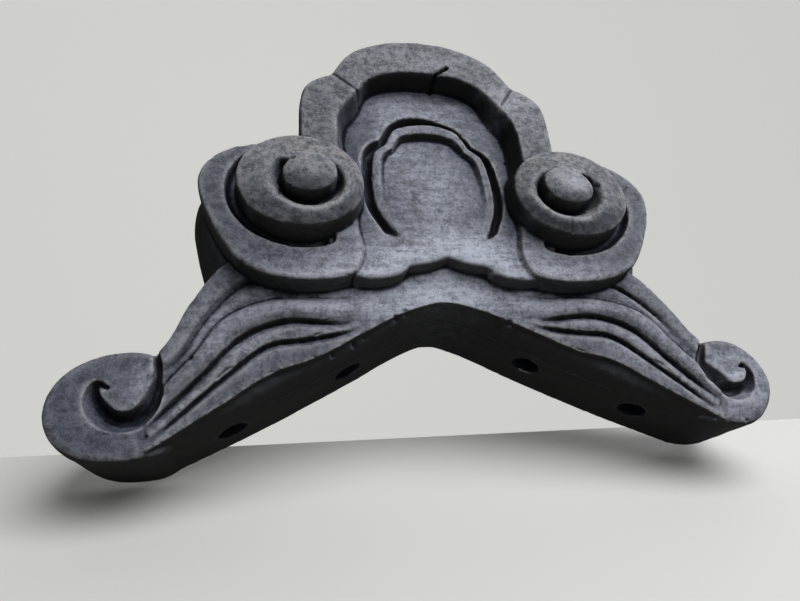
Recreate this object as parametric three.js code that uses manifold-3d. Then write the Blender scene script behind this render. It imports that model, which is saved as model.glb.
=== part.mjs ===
// Roof end tile of smoked grey clay: a lobed crest with a sunk niche, a scalloped collar, two scrolled
// cloud whorls on crescent plates, and two spreading legs that end in rolled feet.
// It is one fired piece, hollow behind, with four tie holes through the undersides of its legs.
//
// Millimetres. X is to the right, the carved front looks along -Y, and Z is up. The back lies in the
// plane Y = 0, and the origin is on the back, in the middle of the clay wall over the arch.
// While it is being shaped, a point is given by x, by its height z over the feet, and by its depth,
// which is its distance in front of the back.
import * as THREE from 'three';
import { mergeVertices } from 'three/addons/utils/BufferGeometryUtils.js';
import Module from 'manifold-3d';

const wasm = await Module();
wasm.setup();

// Overall sizes. The carving keeps its proportions as shares of these two.
const SPAN = 430;
const HEIGHT = 286;

// Depth of each level of the front, measured from the back plane.
const LEG_DEPTH = 63;
const COLLAR_DEPTH = 76;
const PLATE_DEPTH = 79;
const RIM_DEPTH = 85;
const WHORL_DEPTH = 97;
const BUTTON_DEPTH = 104.5;
const NICHE_FLOOR_DEPTH = 68;
const DISC_TOP_DEPTH = 70;

// Clay walls, the hollow behind and the tie holes.
const WALL = 18;
const FRONT_WALL = 19;
const TIE_HOLE_DIAMETER = 17;
const TIE_HOLE_DEPTH = 30;

// Carving.
const GROOVE_DEPTH = 6;
const GROOVE_WIDTH = 6;
const ROLL_GROOVE_DEPTH = 9;
const ROLL_GROOVE_WIDTH = 9;
const RING_GROOVE_DEPTH = 7.5;
const RING_DROP = 1.5;
const LEDGE_DROP = 4.5;
const EDGE_ROUND = 6;
const CREST_EDGE_ROUND = 2;
const PLATE_EDGE_ROUND = 1.7;
const ROLL_EDGE_ROUND = 3;
const NICHE_DRAFT = 6;
const NICHE_TOP_DRAFT = 0.8;

// The outlines below were drawn for a tile of this span and height.
const DRAWN_SPAN = 430;
const DRAWN_HEIGHT = 286;
const across = (x) => (x * SPAN) / DRAWN_SPAN;
const up = (z) => (z * HEIGHT) / DRAWN_HEIGHT;

// Fineness of the facets.
const LEG_STATIONS = 46;
const CREST_STEPS = 6;
const PLATE_STEPS = 34;
const WHORL_STEPS = 36;
const ROLL_STEPS = 22;
const ROLL_GROOVE_STEPS = 26;
const HOLLOW_STEPS = 14;

const mix = (a, b, t) => a + (b - a) * t;
const clamp01 = (t) => Math.min(1, Math.max(0, t));
const smooth = (a, b, t) => {
  const s = clamp01((t - a) / (b - a));
  return s * s * (3 - 2 * s);
};

// A smooth line through drawn points, as points [x, z] of the real size.
function line(drawn, closed = false) {
  const points = drawn.map(([x, z]) => new THREE.Vector3(across(x), 0, up(z)));
  return new THREE.CatmullRomCurve3(points, closed, 'centripetal');
}

// A line drawn for the right half only, carried on over the middle to the left half.
function acrossLine(drawn) {
  const left = drawn.slice(1).reverse().map(([x, z]) => [-x, z]);
  return line([...left, ...drawn]);
}

// The unevenness of hand work: the crest and whorls stand a little higher on the left, and the left
// foot reaches a little lower and further out than the right one. The collar's lower edge lies a little
// further to the right than the rest of the crest.
const UPPER_LEAN = 0.025;
const FOOT_LEAN = 0.01;
const LONGER_LEFT = 5.3;
const CREST_SHIFT = 1.2;
const COLLAR_SHIFT = 2.7;

function handCut([x, z, depth]) {
  const lean = mix(FOOT_LEAN, -UPPER_LEAN, smooth(up(60), up(120), z));
  const outward = smooth(across(178), SPAN / 2, Math.abs(x));
  const shift = CREST_SHIFT * smooth(up(110), up(200), z);
  return [x - LONGER_LEFT * outward - shift, z + lean * x, depth];
}

// A closed solid from rings of [x, z, depth], with a fan over its first and its last ring.
function skin(rings, firstCentre, lastCentre) {
  const count = rings[0].length;
  const positions = [firstCentre, ...rings.flat(), lastCentre].map(handCut);
  const faces = [];
  const at = (ring, i) => 1 + ring * count + (i % count);
  const last = positions.length - 1;
  for (let i = 0; i < count; i += 1) {
    faces.push([0, at(0, i + 1), at(0, i)]);
    for (let ring = 0; ring + 1 < rings.length; ring += 1) {
      faces.push([at(ring, i), at(ring, i + 1), at(ring + 1, i + 1)]);
      faces.push([at(ring, i), at(ring + 1, i + 1), at(ring + 1, i)]);
    }
    faces.push([last, at(rings.length - 1, i), at(rings.length - 1, i + 1)]);
  }
  const geometry = new THREE.BufferGeometry();
  const flat = positions.flatMap(([x, z, depth]) => [x, -depth, z]);
  geometry.setAttribute('position', new THREE.Float32BufferAttribute(flat, 3));
  geometry.setIndex(faces.flat());
  return solid(geometry);
}

// A flat outline as a block between two depths.
function prism(outline, from, to) {
  const shape = new THREE.Shape(outline.map((point) => new THREE.Vector2(...handCut([...point, 0]))));
  const geometry = new THREE.ExtrudeGeometry(shape, { depth: to - from, bevelEnabled: false });
  geometry.translate(0, 0, from);
  geometry.rotateX(Math.PI / 2);
  return solid(geometry);
}

// A closed mesh as a solid, turned right side out if it was wound the other way.
function solid(source) {
  const geometry = source.clone();
  geometry.deleteAttribute('normal');
  geometry.deleteAttribute('uv');
  const merged = mergeVertices(geometry, 1e-4);
  const corners = merged.attributes.position;
  const index = Array.from(merged.index.array);
  const faces = [];
  let volume = 0;
  const [a, b, c] = [new THREE.Vector3(), new THREE.Vector3(), new THREE.Vector3()];
  for (let i = 0; i < index.length; i += 3) {
    const face = index.slice(i, i + 3);
    if (new Set(face).size < 3) continue;
    a.fromBufferAttribute(corners, face[0]);
    b.fromBufferAttribute(corners, face[1]);
    c.fromBufferAttribute(corners, face[2]);
    volume += a.dot(b.cross(c));
    faces.push(face);
  }
  const triVerts = new Uint32Array(faces.flatMap((face) => (volume < 0 ? face.reverse() : face)));
  const vertProperties = new Float32Array(corners.array);
  return new wasm.Manifold(new wasm.Mesh({ numProp: 3, vertProperties, triVerts }));
}

// The same rings, or the same point, on the other side of the tile.
const mirrored = (rings) => rings.map((ring) => ring.map(([x, z, depth]) => [-x, z, depth]));
const mirroredPoint = ([x, z, depth]) => [-x, z, depth];

// Both of a left and right pair, from rings drawn for the right.
function pair(rings, firstCentre, lastCentre) {
  const right = skin(rings, firstCentre, lastCentre);
  const left = skin(mirrored(rings), mirroredPoint(firstCentre), mirroredPoint(lastCentre));
  return [left, right];
}

// A flat outline moved inward by a distance, each point along the normal of its neighbours.
function inset(outline, distance) {
  const count = outline.length;
  let area = 0;
  outline.forEach(([x, z], i) => {
    const [nextX, nextZ] = outline[(i + 1) % count];
    area += x * nextZ - nextX * z;
  });
  const side = Math.sign(area) * distance;
  return outline.map(([x, z], i) => {
    const [x0, z0] = outline[(i + count - 1) % count];
    const [x1, z1] = outline[(i + 1) % count];
    const length = Math.hypot(x1 - x0, z1 - z0);
    return [x - (side * (z1 - z0)) / length, z + (side * (x1 - x0)) / length];
  });
}

// The middle of a ring, for the fan that closes it.
function middle(ring) {
  return [0, 1, 2].map((axis) => ring.reduce((sum, point) => sum + point[axis], 0) / ring.length);
}

const atDepth = (outline, depth) => outline.map(([x, z]) => [x, z, depth]);
const sampled = (curve, count, closed = false) => {
  const points = closed ? curve.getPoints(count).slice(0, -1) : curve.getSpacedPoints(count);
  return points.map(({ x, z }) => [x, z]);
};

// Legs: one loft from foot to foot. Its cross lines run from the underside's back edge to the top.
const soffit = acrossLine([[0, 81], [24, 73], [54, 57], [112, 28], [168, 3]]);
const strandLines = [
  acrossLine([[0, 86], [22, 81], [46, 70], [80, 52.5], [104, 44.5], [130, 28], [168, 4]]),
  acrossLine([[0, 90], [30, 82], [56, 70], [85, 64.5], [106, 61.5], [130, 43.5], [165, 11]]),
  acrossLine([[0, 94], [30, 85], [57, 74.5], [98, 75.5], [122, 66], [143, 44], [168, 17]]),
  acrossLine([[0, 100], [60, 90], [105, 89.5], [133, 78], [150, 55], [173, 28]]),
  acrossLine([[0, 106], [62, 103], [116, 100], [140, 79], [156, 53], [177, 36]]),
  acrossLine([[0, 111], [70, 113], [128, 113], [150, 88], [164, 62], [183, 46]]),
];
const [LOWER_GROOVE, UPPER_GROOVE, STEP, OUTER_GROOVE] = [1, 2, 3, 4];

// How deep each groove is at a place along its leg, 0 in the middle of the arch and 1 at the foot.
const grooveStrength = {
  [LOWER_GROOVE]: (t) => smooth(0.27, 0.5, t) * smooth(0.98, 0.72, t),
  [UPPER_GROOVE]: (t) => 0.75 * smooth(0.27, 0.5, t) * smooth(0.98, 0.75, t),
  [OUTER_GROOVE]: (t) => 0.55 * smooth(0.3, 0.5, t) * smooth(0.88, 0.68, t),
};
const CROWN = [0.5, 0.6, 2.4, 0.3, 1.6];
const STEP_DROP = 2.2;

// One section of the legs, at a share of the way from the left foot to the right foot.
function legSection(share) {
  const along = Math.abs(share - 0.5) * 2;
  const points = strandLines.map((curve) => curve.getPointAt(share));
  const bottom = soffit.getPointAt(share);
  const spread = smooth(0.15, 0.5, along);
  const between = (i, f) => [mix(points[i].x, points[i + 1].x, f), mix(points[i].z, points[i + 1].z, f)];
  const gap = points.slice(1).map((point, i) => point.distanceTo(points[i]));
  const drop = (i) => (i >= STEP ? STEP_DROP * spread * (i >= OUTER_GROOVE ? 0.4 : 1) : 0);
  const ring = [];
  ring.push([bottom.x, bottom.z, 0]);
  ring.push([bottom.x, bottom.z, LEG_DEPTH * 0.6]);
  ring.push([mix(bottom.x, points[0].x, 0.4), mix(bottom.z, points[0].z, 0.4), LEG_DEPTH * 0.86]);
  ring.push([points[0].x, points[0].z, LEG_DEPTH - EDGE_ROUND / 2]);
  CROWN.forEach((crown, i) => {
    const crowned = (f) => [...between(i, f), LEG_DEPTH - drop(i) + crown * spread * Math.sin(Math.PI * f)];
    const nearGroove = (strand) => Math.min(0.32, GROOVE_WIDTH / 2 / gap[strand]);
    if (i === 0) ring.push(crowned(0.22));
    else if (grooveStrength[i]) ring.push(crowned(nearGroove(i)));
    else ring.push(crowned(0.14));
    ring.push(crowned(0.5));
    const next = i + 1;
    if (grooveStrength[next]) {
      ring.push(crowned(1 - nearGroove(i)));
      const deep = GROOVE_DEPTH * grooveStrength[next](along);
      ring.push([points[next].x, points[next].z, LEG_DEPTH - drop(next) - deep]);
    } else if (next === STEP) {
      ring.push(crowned(0.9));
    } else {
      ring.push(crowned(0.86));
    }
  });
  const top = points[points.length - 1];
  ring.push([top.x, top.z, LEG_DEPTH - EDGE_ROUND]);
  ring.push([top.x, top.z, 0]);
  return ring;
}

function legs() {
  const rings = [];
  for (let i = 0; i <= LEG_STATIONS; i += 1) rings.push(legSection(i / LEG_STATIONS));
  return skin(rings, middle(rings[0]), middle(rings[rings.length - 1]));
}

// Feet: a roll at the end of each leg, the left one taller, with a groove that curls in beside its eye.
const ROLL_CENTRE = [across(181), up(28.5)];
const LEFT_ROLL_GROWTH = 1.09;
const LEFT_ROLL_RISE = up(1.5);
const leftRollGroove = line([[187, 39], [193, 42], [194, 36], [190, 27], [184, 22], [175, 22], [168, 29],
  [165, 39], [164.5, 48], [166, 56], [169, 65]]);
const rightRollGroove = line([[189, 37], [196, 37.5], [198, 32], [194, 25], [186, 21.5], [178, 22.5],
  [171, 27.5], [165, 34.5], [163, 41.5], [165, 49], [169, 56], [174, 64]]);

function roll(growth, rise) {
  const width = SPAN / 2 - ROLL_CENTRE[0];
  const height = ROLL_CENTRE[1] * growth;
  const centre = [ROLL_CENTRE[0], ROLL_CENTRE[1] + rise];
  const turn = (change, depth) => {
    const ring = [];
    for (let i = 0; i < ROLL_STEPS; i += 1) {
      const angle = (i / ROLL_STEPS) * 2 * Math.PI;
      const x = centre[0] + (width + change) * Math.cos(angle);
      ring.push([x, Math.max(0, centre[1] + (height + change) * Math.sin(angle)), depth]);
    }
    return ring;
  };
  const rings = [
    turn(-ROLL_EDGE_ROUND, 0),
    turn(0, ROLL_EDGE_ROUND),
    turn(0, LEG_DEPTH - ROLL_EDGE_ROUND * 1.4),
    turn(-ROLL_EDGE_ROUND * 0.3, LEG_DEPTH - ROLL_EDGE_ROUND * 0.5),
    turn(-ROLL_EDGE_ROUND, LEG_DEPTH),
    turn(-width * 0.5, LEG_DEPTH + 1),
  ];
  return [rings, [...centre, 0], [...centre, LEG_DEPTH + 1.5]];
}

function rolls() {
  const [rings, back, front] = roll(LEFT_ROLL_GROWTH, LEFT_ROLL_RISE);
  return [skin(mirrored(rings), mirroredPoint(back), mirroredPoint(front)), skin(...roll(1, 0))];
}

// The rings of a cutter along a roll's groove. It is steep beside the eye and sloped on the outer side;
// from the share where it turns over, it is steep on the outer side and sloped towards the eye.
function rollCutter(groove, turnsOver) {
  const rings = [];
  for (let i = 0; i <= ROLL_GROOVE_STEPS; i += 1) {
    const t = i / ROLL_GROOVE_STEPS;
    const point = groove.getPointAt(t);
    const tangent = groove.getTangentAt(t);
    const strength = smooth(-0.1, 0.3, t) * mix(1, 0.6, smooth(0.75, 1, t));
    const half = (ROLL_GROOVE_WIDTH / 2) * strength;
    const deep = ROLL_GROOVE_DEPTH * strength;
    const over = smooth(turnsOver - 0.1, turnsOver + 0.1, t);
    const place = (eyeSteep, eyeSloped, depth) => {
      const sideways = half * mix(eyeSteep, eyeSloped, over);
      return [point.x - tangent.z * sideways, point.z + tangent.x * sideways, depth];
    };
    rings.push([
      place(-1.1, -2, LEG_DEPTH + 6),
      place(-0.9, -1.3, LEG_DEPTH - deep * 0.5),
      place(-0.5, -0.4, LEG_DEPTH - deep),
      place(0.2, 0.3, LEG_DEPTH - deep * 0.9),
      place(1.2, 0.7, LEG_DEPTH),
      place(1.6, 0.8, LEG_DEPTH + 6),
    ]);
  }
  return rings;
}

function rollCutters() {
  const left = mirrored(rollCutter(leftRollGroove, 1.5));
  const right = rollCutter(rightRollGroove, 0.5);
  return [left, right].map((rings) => skin(rings, middle(rings[0]), middle(rings[ROLL_GROOVE_STEPS])));
}

// Body: the block that carries the plates and whorls. Its sides go straight down into the legs at the
// back, and lean in towards the plates at the front.
const bodyBack = line([[20, 99], [70, 92], [122, 74], [142, 92], [148, 112], [153, 132], [155.5, 150],
  [153, 167], [141, 179], [112, 186], [60, 186], [20, 186]], true);
const bodyFront = line([[20, 99], [70, 92], [112, 84], [128, 98], [136, 116], [143, 134], [147.5, 153],
  [144.5, 168], [133, 179], [112, 184], [60, 184], [20, 184]], true);

function body() {
  const back = sampled(bodyBack, 36, true);
  const outline = sampled(bodyFront, 36, true);
  const front = COLLAR_DEPTH - 2 * EDGE_ROUND;
  const rings = [
    atDepth(back, 0),
    atDepth(back, LEG_DEPTH * 0.6),
    atDepth(outline, front - EDGE_ROUND * 0.5),
    atDepth(inset(outline, EDGE_ROUND), front + 1),
  ];
  const centre = [across(85), up(140)];
  return pair(rings, [...centre, 0], [...centre, front]);
}

// Whorls: a low egg-shaped cone with an upright wall, and a groove that winds round a raised button.
const WHORL_CENTRE = [across(86.5), up(154)];
const WHORL_HALF_WIDTH = across(39.5);
const WHORL_HALF_HEIGHT = up(34.5);
const BUTTON_CENTRE = [across(82.5), up(152)];
const BUTTON_RADIUS = across(14);
const GROOVE_START = (50 / 180) * Math.PI;
const GROOVE_END = (119 / 180) * Math.PI;

const onWhorl = (angle, scale) => [
  WHORL_CENTRE[0] + WHORL_HALF_WIDTH * scale * Math.cos(angle),
  WHORL_CENTRE[1] + WHORL_HALF_HEIGHT * scale * Math.sin(angle),
];

// Share of a full turn that the winding groove has made at an angle: it starts at the outer side of
// the button's top, goes down and under it, and fades out at the inner side of its top.
function windingShare(angle) {
  const turned = (GROOVE_START - angle + 4 * Math.PI) % (2 * Math.PI);
  return turned / (2 * Math.PI - (GROOVE_END - GROOVE_START));
}

function whorls() {
  const foot = LEG_DEPTH - 6;
  const floor = mix(PLATE_DEPTH, WHORL_DEPTH, 0.5);
  const rows = Array.from({ length: 10 }, () => []);
  for (let i = 0; i < WHORL_STEPS; i += 1) {
    const angle = (i / WHORL_STEPS) * 2 * Math.PI;
    const share = windingShare(angle);
    const open = share <= 1 ? smooth(0, 0.05, share) * smooth(1, 0.74, share) : 0;
    const reach = 1.28 + 0.2 * Math.sin(Math.PI * Math.min(1, share));
    const about = (radius) => [
      BUTTON_CENTRE[0] + BUTTON_RADIUS * radius * 1.08 * Math.cos(angle),
      BUTTON_CENTRE[1] + BUTTON_RADIUS * radius * 0.93 * Math.sin(angle),
    ];
    const lip = about(reach);
    rows[0].push([...onWhorl(angle, 0.95), foot]);
    rows[1].push([...onWhorl(angle, 0.99), PLATE_DEPTH - 4]);
    rows[2].push([...onWhorl(angle, 0.975), WHORL_DEPTH - 7]);
    rows[3].push([...onWhorl(angle, 0.95), WHORL_DEPTH - 5.3]);
    rows[4].push([...about(reach + 0.22), WHORL_DEPTH]);
    rows[5].push([...lip, mix(WHORL_DEPTH + 1, WHORL_DEPTH - 2.5, open)]);
    rows[6].push([...about(1.14), mix(WHORL_DEPTH + 2.2, floor, open)]);
    rows[7].push([...about(1.02), mix(WHORL_DEPTH + 3, floor, open)]);
    rows[8].push([...about(0.95), mix(WHORL_DEPTH + 4, BUTTON_DEPTH - 6, open)]);
    rows[9].push([...about(0.6), BUTTON_DEPTH - 1.2]);
  }
  return pair(rows, [...WHORL_CENTRE, foot], [...BUTTON_CENTRE, BUTTON_DEPTH]);
}

// Plates: a crescent under each whorl, with a ledge let into it along the whorl's foot.
const plateLine = line([[50, 112], [57, 98], [75, 93.5], [95, 94], [111, 98], [124, 106], [133, 118],
  [141, 133], [147, 150], [148, 163], [143, 174], [133, 183], [117, 189.5], [92, 185], [64, 177],
  [52, 152], [52, 131]], true);

function plates() {
  const outline = sampled(plateLine, PLATE_STEPS, true);
  const back = LEG_DEPTH - 10;
  const ledge = (inner) => outline.map(([x, z]) => {
    const angle = Math.atan2(z - WHORL_CENTRE[1], x - WHORL_CENTRE[0]);
    const degrees = ((angle * 180) / Math.PI + 360) % 360;
    const open = smooth(232, 246, degrees) + smooth(60, 35, degrees);
    return onWhorl(angle, mix(inner ? 0.72 : 0.8, inner ? 1.05 : 1.15, open));
  });
  const rings = [
    atDepth(outline, back),
    atDepth(outline, PLATE_DEPTH - PLATE_EDGE_ROUND),
    atDepth(inset(outline, PLATE_EDGE_ROUND), PLATE_DEPTH),
    atDepth(ledge(false), PLATE_DEPTH),
    atDepth(ledge(true), PLATE_DEPTH - LEDGE_DROP),
  ];
  return pair(rings, [...WHORL_CENTRE, back], [...WHORL_CENTRE, PLATE_DEPTH - LEDGE_DROP]);
}

// Crest: nested outlines, each in four stretches from the middle of the bottom to the middle of the
// top: up to the collar's notch, its lobe, the side with the shoulder lobe, and the top arc.
const crestLines = {
  outer: [[[0, 111], [12, 106.5], [25, 104.5]], [[25, 104.5], [31, 99], [44, 95.5], [58, 96]],
    [[58, 96], [78, 130], [86, 200], [83.5, 233], [76.5, 242], [64.5, 248.5]],
    [[64.5, 248.5], [49, 271], [22, 283.5], [0, 286]]],
  rim: [[[0, 116], [12, 111], [25, 109]], [[25, 109], [33, 103], [44, 100], [55, 100]],
    [[55, 100], [60, 150], [62, 195], [60, 215], [50, 231]], [[50, 231], [38, 246], [18, 254], [0, 255]]],
  groove: [[[0, 119], [12, 118.5], [22, 120]], [[22, 120], [29, 123.5], [36, 130]],
    [[36, 130], [44.5, 148], [45.5, 175], [42, 193], [32.5, 202.5]],
    [[32.5, 202.5], [25, 213], [12, 221.5], [0, 223.5]]],
  ringOuter: [[[0, 120.5], [11, 120.5], [20, 122]], [[20, 122], [26, 125.5], [32, 133]],
    [[32, 133], [39, 150], [39.5, 176], [36.5, 191], [30, 199.5]],
    [[30, 199.5], [22, 211], [11, 216], [0, 217.5]]],
  ringInner: [[[0, 122], [10, 122.3], [18, 124.5]], [[18, 124.5], [24, 128.5], [28.5, 136]],
    [[28.5, 136], [34.5, 150], [34.5, 176], [32, 189], [26.5, 196]],
    [[26.5, 196], [20, 204.5], [10, 208.5], [0, 209.5]]],
  disc: [[[0, 123.5], [9, 124.5], [17, 127.5]], [[17, 127.5], [22, 131], [26, 138]],
    [[26, 138], [30, 152], [30.5, 174], [28, 187], [22.5, 196]],
    [[22.5, 196], [16.5, 201.5], [8, 204.5], [0, 205]]],
};
const STRETCH_STEPS = [2, 3, CREST_STEPS + 2, CREST_STEPS];

// The whole closed outline, mirrored, so that the corners of all outlines share their numbers.
function nested(stretches) {
  const half = stretches.flatMap((drawn, i) => sampled(line(drawn), STRETCH_STEPS[i]).slice(0, -1));
  const [topX, topZ] = stretches[stretches.length - 1].slice(-1)[0];
  const left = half.slice(1).reverse().map(([x, z]) => [-x, z]);
  return [...half, [across(topX), up(topZ)], ...left];
}

function crest() {
  const shifted = (outline) => outline.map(([x, z]) => [x + COLLAR_SHIFT * smooth(up(150), up(112), z), z]);
  const lines = Object.entries(crestLines);
  const rows = Object.fromEntries(lines.map(([name, drawn]) => [name, shifted(nested(drawn))]));
  const rimTop = (z) => mix(COLLAR_DEPTH, RIM_DEPTH, smooth(up(135), up(180), z));
  const base = (z) => mix(COLLAR_DEPTH, NICHE_FLOOR_DEPTH, smooth(up(130), up(215), z));
  const ringSide = mix(COLLAR_DEPTH, NICHE_FLOOR_DEPTH, 0.4);
  const nearRing = (z) => mix(COLLAR_DEPTH, ringSide, smooth(up(135), up(220), z));
  const cut = (z) => smooth(up(122), up(134), z);
  const disc = (z) => mix(COLLAR_DEPTH - 0.6, DISC_TOP_DEPTH, clamp01((z - up(123)) / up(82)));
  const lay = (outline, depth) => outline.map(([x, z]) => [x, z, depth(z)]);
  const wallFoot = rows.rim.map(([x, z], i) => {
    const [innerX, innerZ] = rows.groove[i];
    const draft = mix(NICHE_DRAFT, NICHE_TOP_DRAFT, smooth(up(228), up(248), z)) * cut(z);
    const share = draft / Math.hypot(innerX - x, innerZ - z);
    return [mix(x, innerX, share), mix(z, innerZ, share)];
  });
  const grooveFloor = rows.groove.map(([x, z], i) => {
    const [innerX, innerZ] = rows.ringOuter[i];
    return [mix(x, innerX, 0.55), mix(z, innerZ, 0.55)];
  });
  const rings = [
    lay(rows.outer, () => 0),
    lay(rows.outer, (z) => rimTop(z) - CREST_EDGE_ROUND),
    lay(inset(rows.outer, CREST_EDGE_ROUND), rimTop),
    lay(rows.rim, rimTop),
    lay(wallFoot, base),
    lay(rows.groove, nearRing),
    lay(grooveFloor, (z) => nearRing(z) - RING_GROOVE_DEPTH * cut(z)),
    lay(rows.ringOuter, (z) => COLLAR_DEPTH - RING_DROP * cut(z)),
    lay(rows.ringInner, (z) => COLLAR_DEPTH - (RING_DROP - 0.5) * cut(z)),
    lay(rows.disc, disc),
  ];
  return skin(rings, [0, up(190), 0], [0, up(164), disc(up(164))]);
}

// The hollow behind: one pocket through the body, the crest and both legs, a wall inside all outer
// faces and as deep as the front wall leaves. Its floor has a sloped edge.
const HOLLOW_DEPTH = LEG_DEPTH - FRONT_WALL;
const HOLLOW_SLOPE = 6;
const BEHIND_BACK = 5;
const LEG_HOLLOW_SHARE = 0.95;
const hollowSide = [[149, 115], [151, 138], [150, 160], [142, 177], [124, 185], [104, 186], [90, 190],
  [86, 204], [84.5, 230], [76.5, 242], [64.5, 248.5], [49, 271], [22, 283.5], [0, 286]];

function hollow() {
  const low = [];
  const high = [];
  const inward = (curve, share, side) => {
    const point = curve.getPointAt(share);
    const tangent = curve.getTangentAt(share);
    return [point.x - side * tangent.z * WALL, point.z + side * tangent.x * WALL];
  };
  for (let i = 0; i <= HOLLOW_STEPS; i += 1) {
    const share = mix(0.5, LEG_HOLLOW_SHARE, i / HOLLOW_STEPS);
    low.push(inward(soffit, share, 1));
    high.unshift(inward(strandLines[5], share, -1));
  }
  const side = hollowSide.map(([x, z]) => [across(x), up(z)]);
  const walled = inset([[0, 0], [across(149), 0], ...side, [-side[12][0], side[12][1]]], WALL).slice(2, -1);
  const legTop = high.filter(([x, z]) => x > walled[0][0] && z < walled[0][1]);
  const right = [...low, ...legTop, ...walled];
  const left = right.slice(1, -1).reverse().map(([x, z]) => [-x, z]);
  const outline = [...right, ...left];
  return [
    prism(outline, -BEHIND_BACK, HOLLOW_DEPTH - HOLLOW_SLOPE),
    prism(inset(outline, HOLLOW_SLOPE / 2), 0, HOLLOW_DEPTH),
  ];
}

// Tie holes: two through the underside of each leg, square to it.
function tieHoles() {
  const holes = [];
  const places = [0.325, 0.12].flatMap((share) => [share, 1 - share]);
  places.forEach((share) => {
    const point = soffit.getPointAt(share);
    const tangent = soffit.getTangentAt(share);
    const bore = new THREE.CylinderGeometry(TIE_HOLE_DIAMETER / 2, TIE_HOLE_DIAMETER / 2, 4 * WALL, 16);
    bore.translate(0, WALL * 0.6, 0);
    const turned = bore.applyMatrix4(new THREE.Matrix4().makeBasis(
      new THREE.Vector3(tangent.x, 0, tangent.z),
      new THREE.Vector3(-tangent.z, 0, tangent.x),
      new THREE.Vector3(0, -1, 0),
    ));
    turned.translate(point.x, -TIE_HOLE_DEPTH, point.z);
    holes.push(solid(turned));
  });
  return holes;
}

function mesh(shape, name, material) {
  const { vertProperties, triVerts } = shape.getMesh();
  const geometry = new THREE.BufferGeometry();
  geometry.setAttribute('position', new THREE.BufferAttribute(vertProperties, 3));
  geometry.setIndex(new THREE.BufferAttribute(triVerts, 1));
  const part = new THREE.Mesh(geometry, material);
  part.name = name;
  return part;
}

const raised = [legs(), ...rolls(), ...body(), ...plates(), ...whorls(), crest()];
const cuts = [...rollCutters(), ...hollow(), ...tieHoles()];
let tile = raised.reduce((all, shape) => all.add(shape));
tile = cuts.reduce((all, shape) => all.subtract(shape), tile);

const clay = new THREE.MeshStandardMaterial({ color: 0x5a5d66, roughness: 0.55, metalness: 0.1 });
const MOUNT_HEIGHT = soffit.getPointAt(0.5).z + WALL / 2;
const roofEndTile = new THREE.Group();
roofEndTile.add(mesh(tile, 'roof_end_tile', clay));
roofEndTile.position.z = -MOUNT_HEIGHT;

export default roofEndTile;
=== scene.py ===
"""Roof end tile of smoked grey clay: one fired piece, with its stage, lights and camera."""
import math

import bpy
import numpy as np
from bpy.props import FloatProperty, FloatVectorProperty, IntProperty, PointerProperty
from mathutils import Matrix, Vector


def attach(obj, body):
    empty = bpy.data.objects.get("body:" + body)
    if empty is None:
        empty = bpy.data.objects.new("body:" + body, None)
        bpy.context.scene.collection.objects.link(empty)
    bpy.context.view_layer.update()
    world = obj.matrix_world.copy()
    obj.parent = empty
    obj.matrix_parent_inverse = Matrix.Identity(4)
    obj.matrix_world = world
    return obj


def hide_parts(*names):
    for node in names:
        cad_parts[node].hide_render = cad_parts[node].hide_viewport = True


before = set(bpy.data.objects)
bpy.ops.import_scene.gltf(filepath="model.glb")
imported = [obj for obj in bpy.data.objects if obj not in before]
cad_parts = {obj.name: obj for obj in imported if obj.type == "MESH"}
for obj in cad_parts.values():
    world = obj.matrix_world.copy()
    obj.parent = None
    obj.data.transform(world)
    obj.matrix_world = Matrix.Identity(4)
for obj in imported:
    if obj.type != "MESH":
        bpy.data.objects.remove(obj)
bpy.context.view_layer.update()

bl_info = {
    "name": "Roof End Tile",
    "version": (1, 0, 0),
    "blender": (4, 5, 0),
    "location": "3D View > Sidebar > Roof End Tile",
    "description": "A carved roof end tile of smoked grey clay on a plain stage",
    "category": "Add Mesh",
}

# The shape is worked out in millimetres, as points of x, height over the feet, and depth in front of
# the flat back. The origin of the frame is on the back, ORIGIN_HEIGHT over the feet.
MM = 0.001
ORIGIN_HEIGHT = 90.0
SPAN = 430.0
LEG_DEPTH = 63.0
COLLAR_DEPTH = 76.0
PLATE_DEPTH = 79.0
RIM_DEPTH = 85.0
WHORL_DEPTH = 97.0
BUTTON_DEPTH = 104.5
NICHE_FLOOR_DEPTH = 68.0
DISC_TOP_DEPTH = 70.0
WALL = 18.0
HOLLOW_DEPTH = 44.0
LEDGE_DROP = 4.5
EDGE_ROUND = 6.0
CREST_EDGE_ROUND = 2.0
PLATE_EDGE_ROUND = 1.7
CURVE_STEPS = 24

# The unevenness of hand work, and the heights, or the distances from the middle, over which it sets in.
UPPER_LEAN = 0.025
FOOT_LEAN = 0.01
LEAN_HEIGHTS = (60, 120)
LONGER_LEFT = 5.3
OUTER_FOOT = (178, SPAN / 2)
CREST_SHIFT = 1.2
CREST_SHIFT_HEIGHTS = (110, 200)


# Numbers

def mix(a, b, t):
    """A value between a and b, t of the way."""
    return a + (b - a) * t


def smooth(a, b, t):
    """Goes from 0 at a to 1 at b along an S curve."""
    s = np.clip((t - a) / (b - a), 0.0, 1.0)
    return s * s * (3.0 - 2.0 * s)


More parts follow.
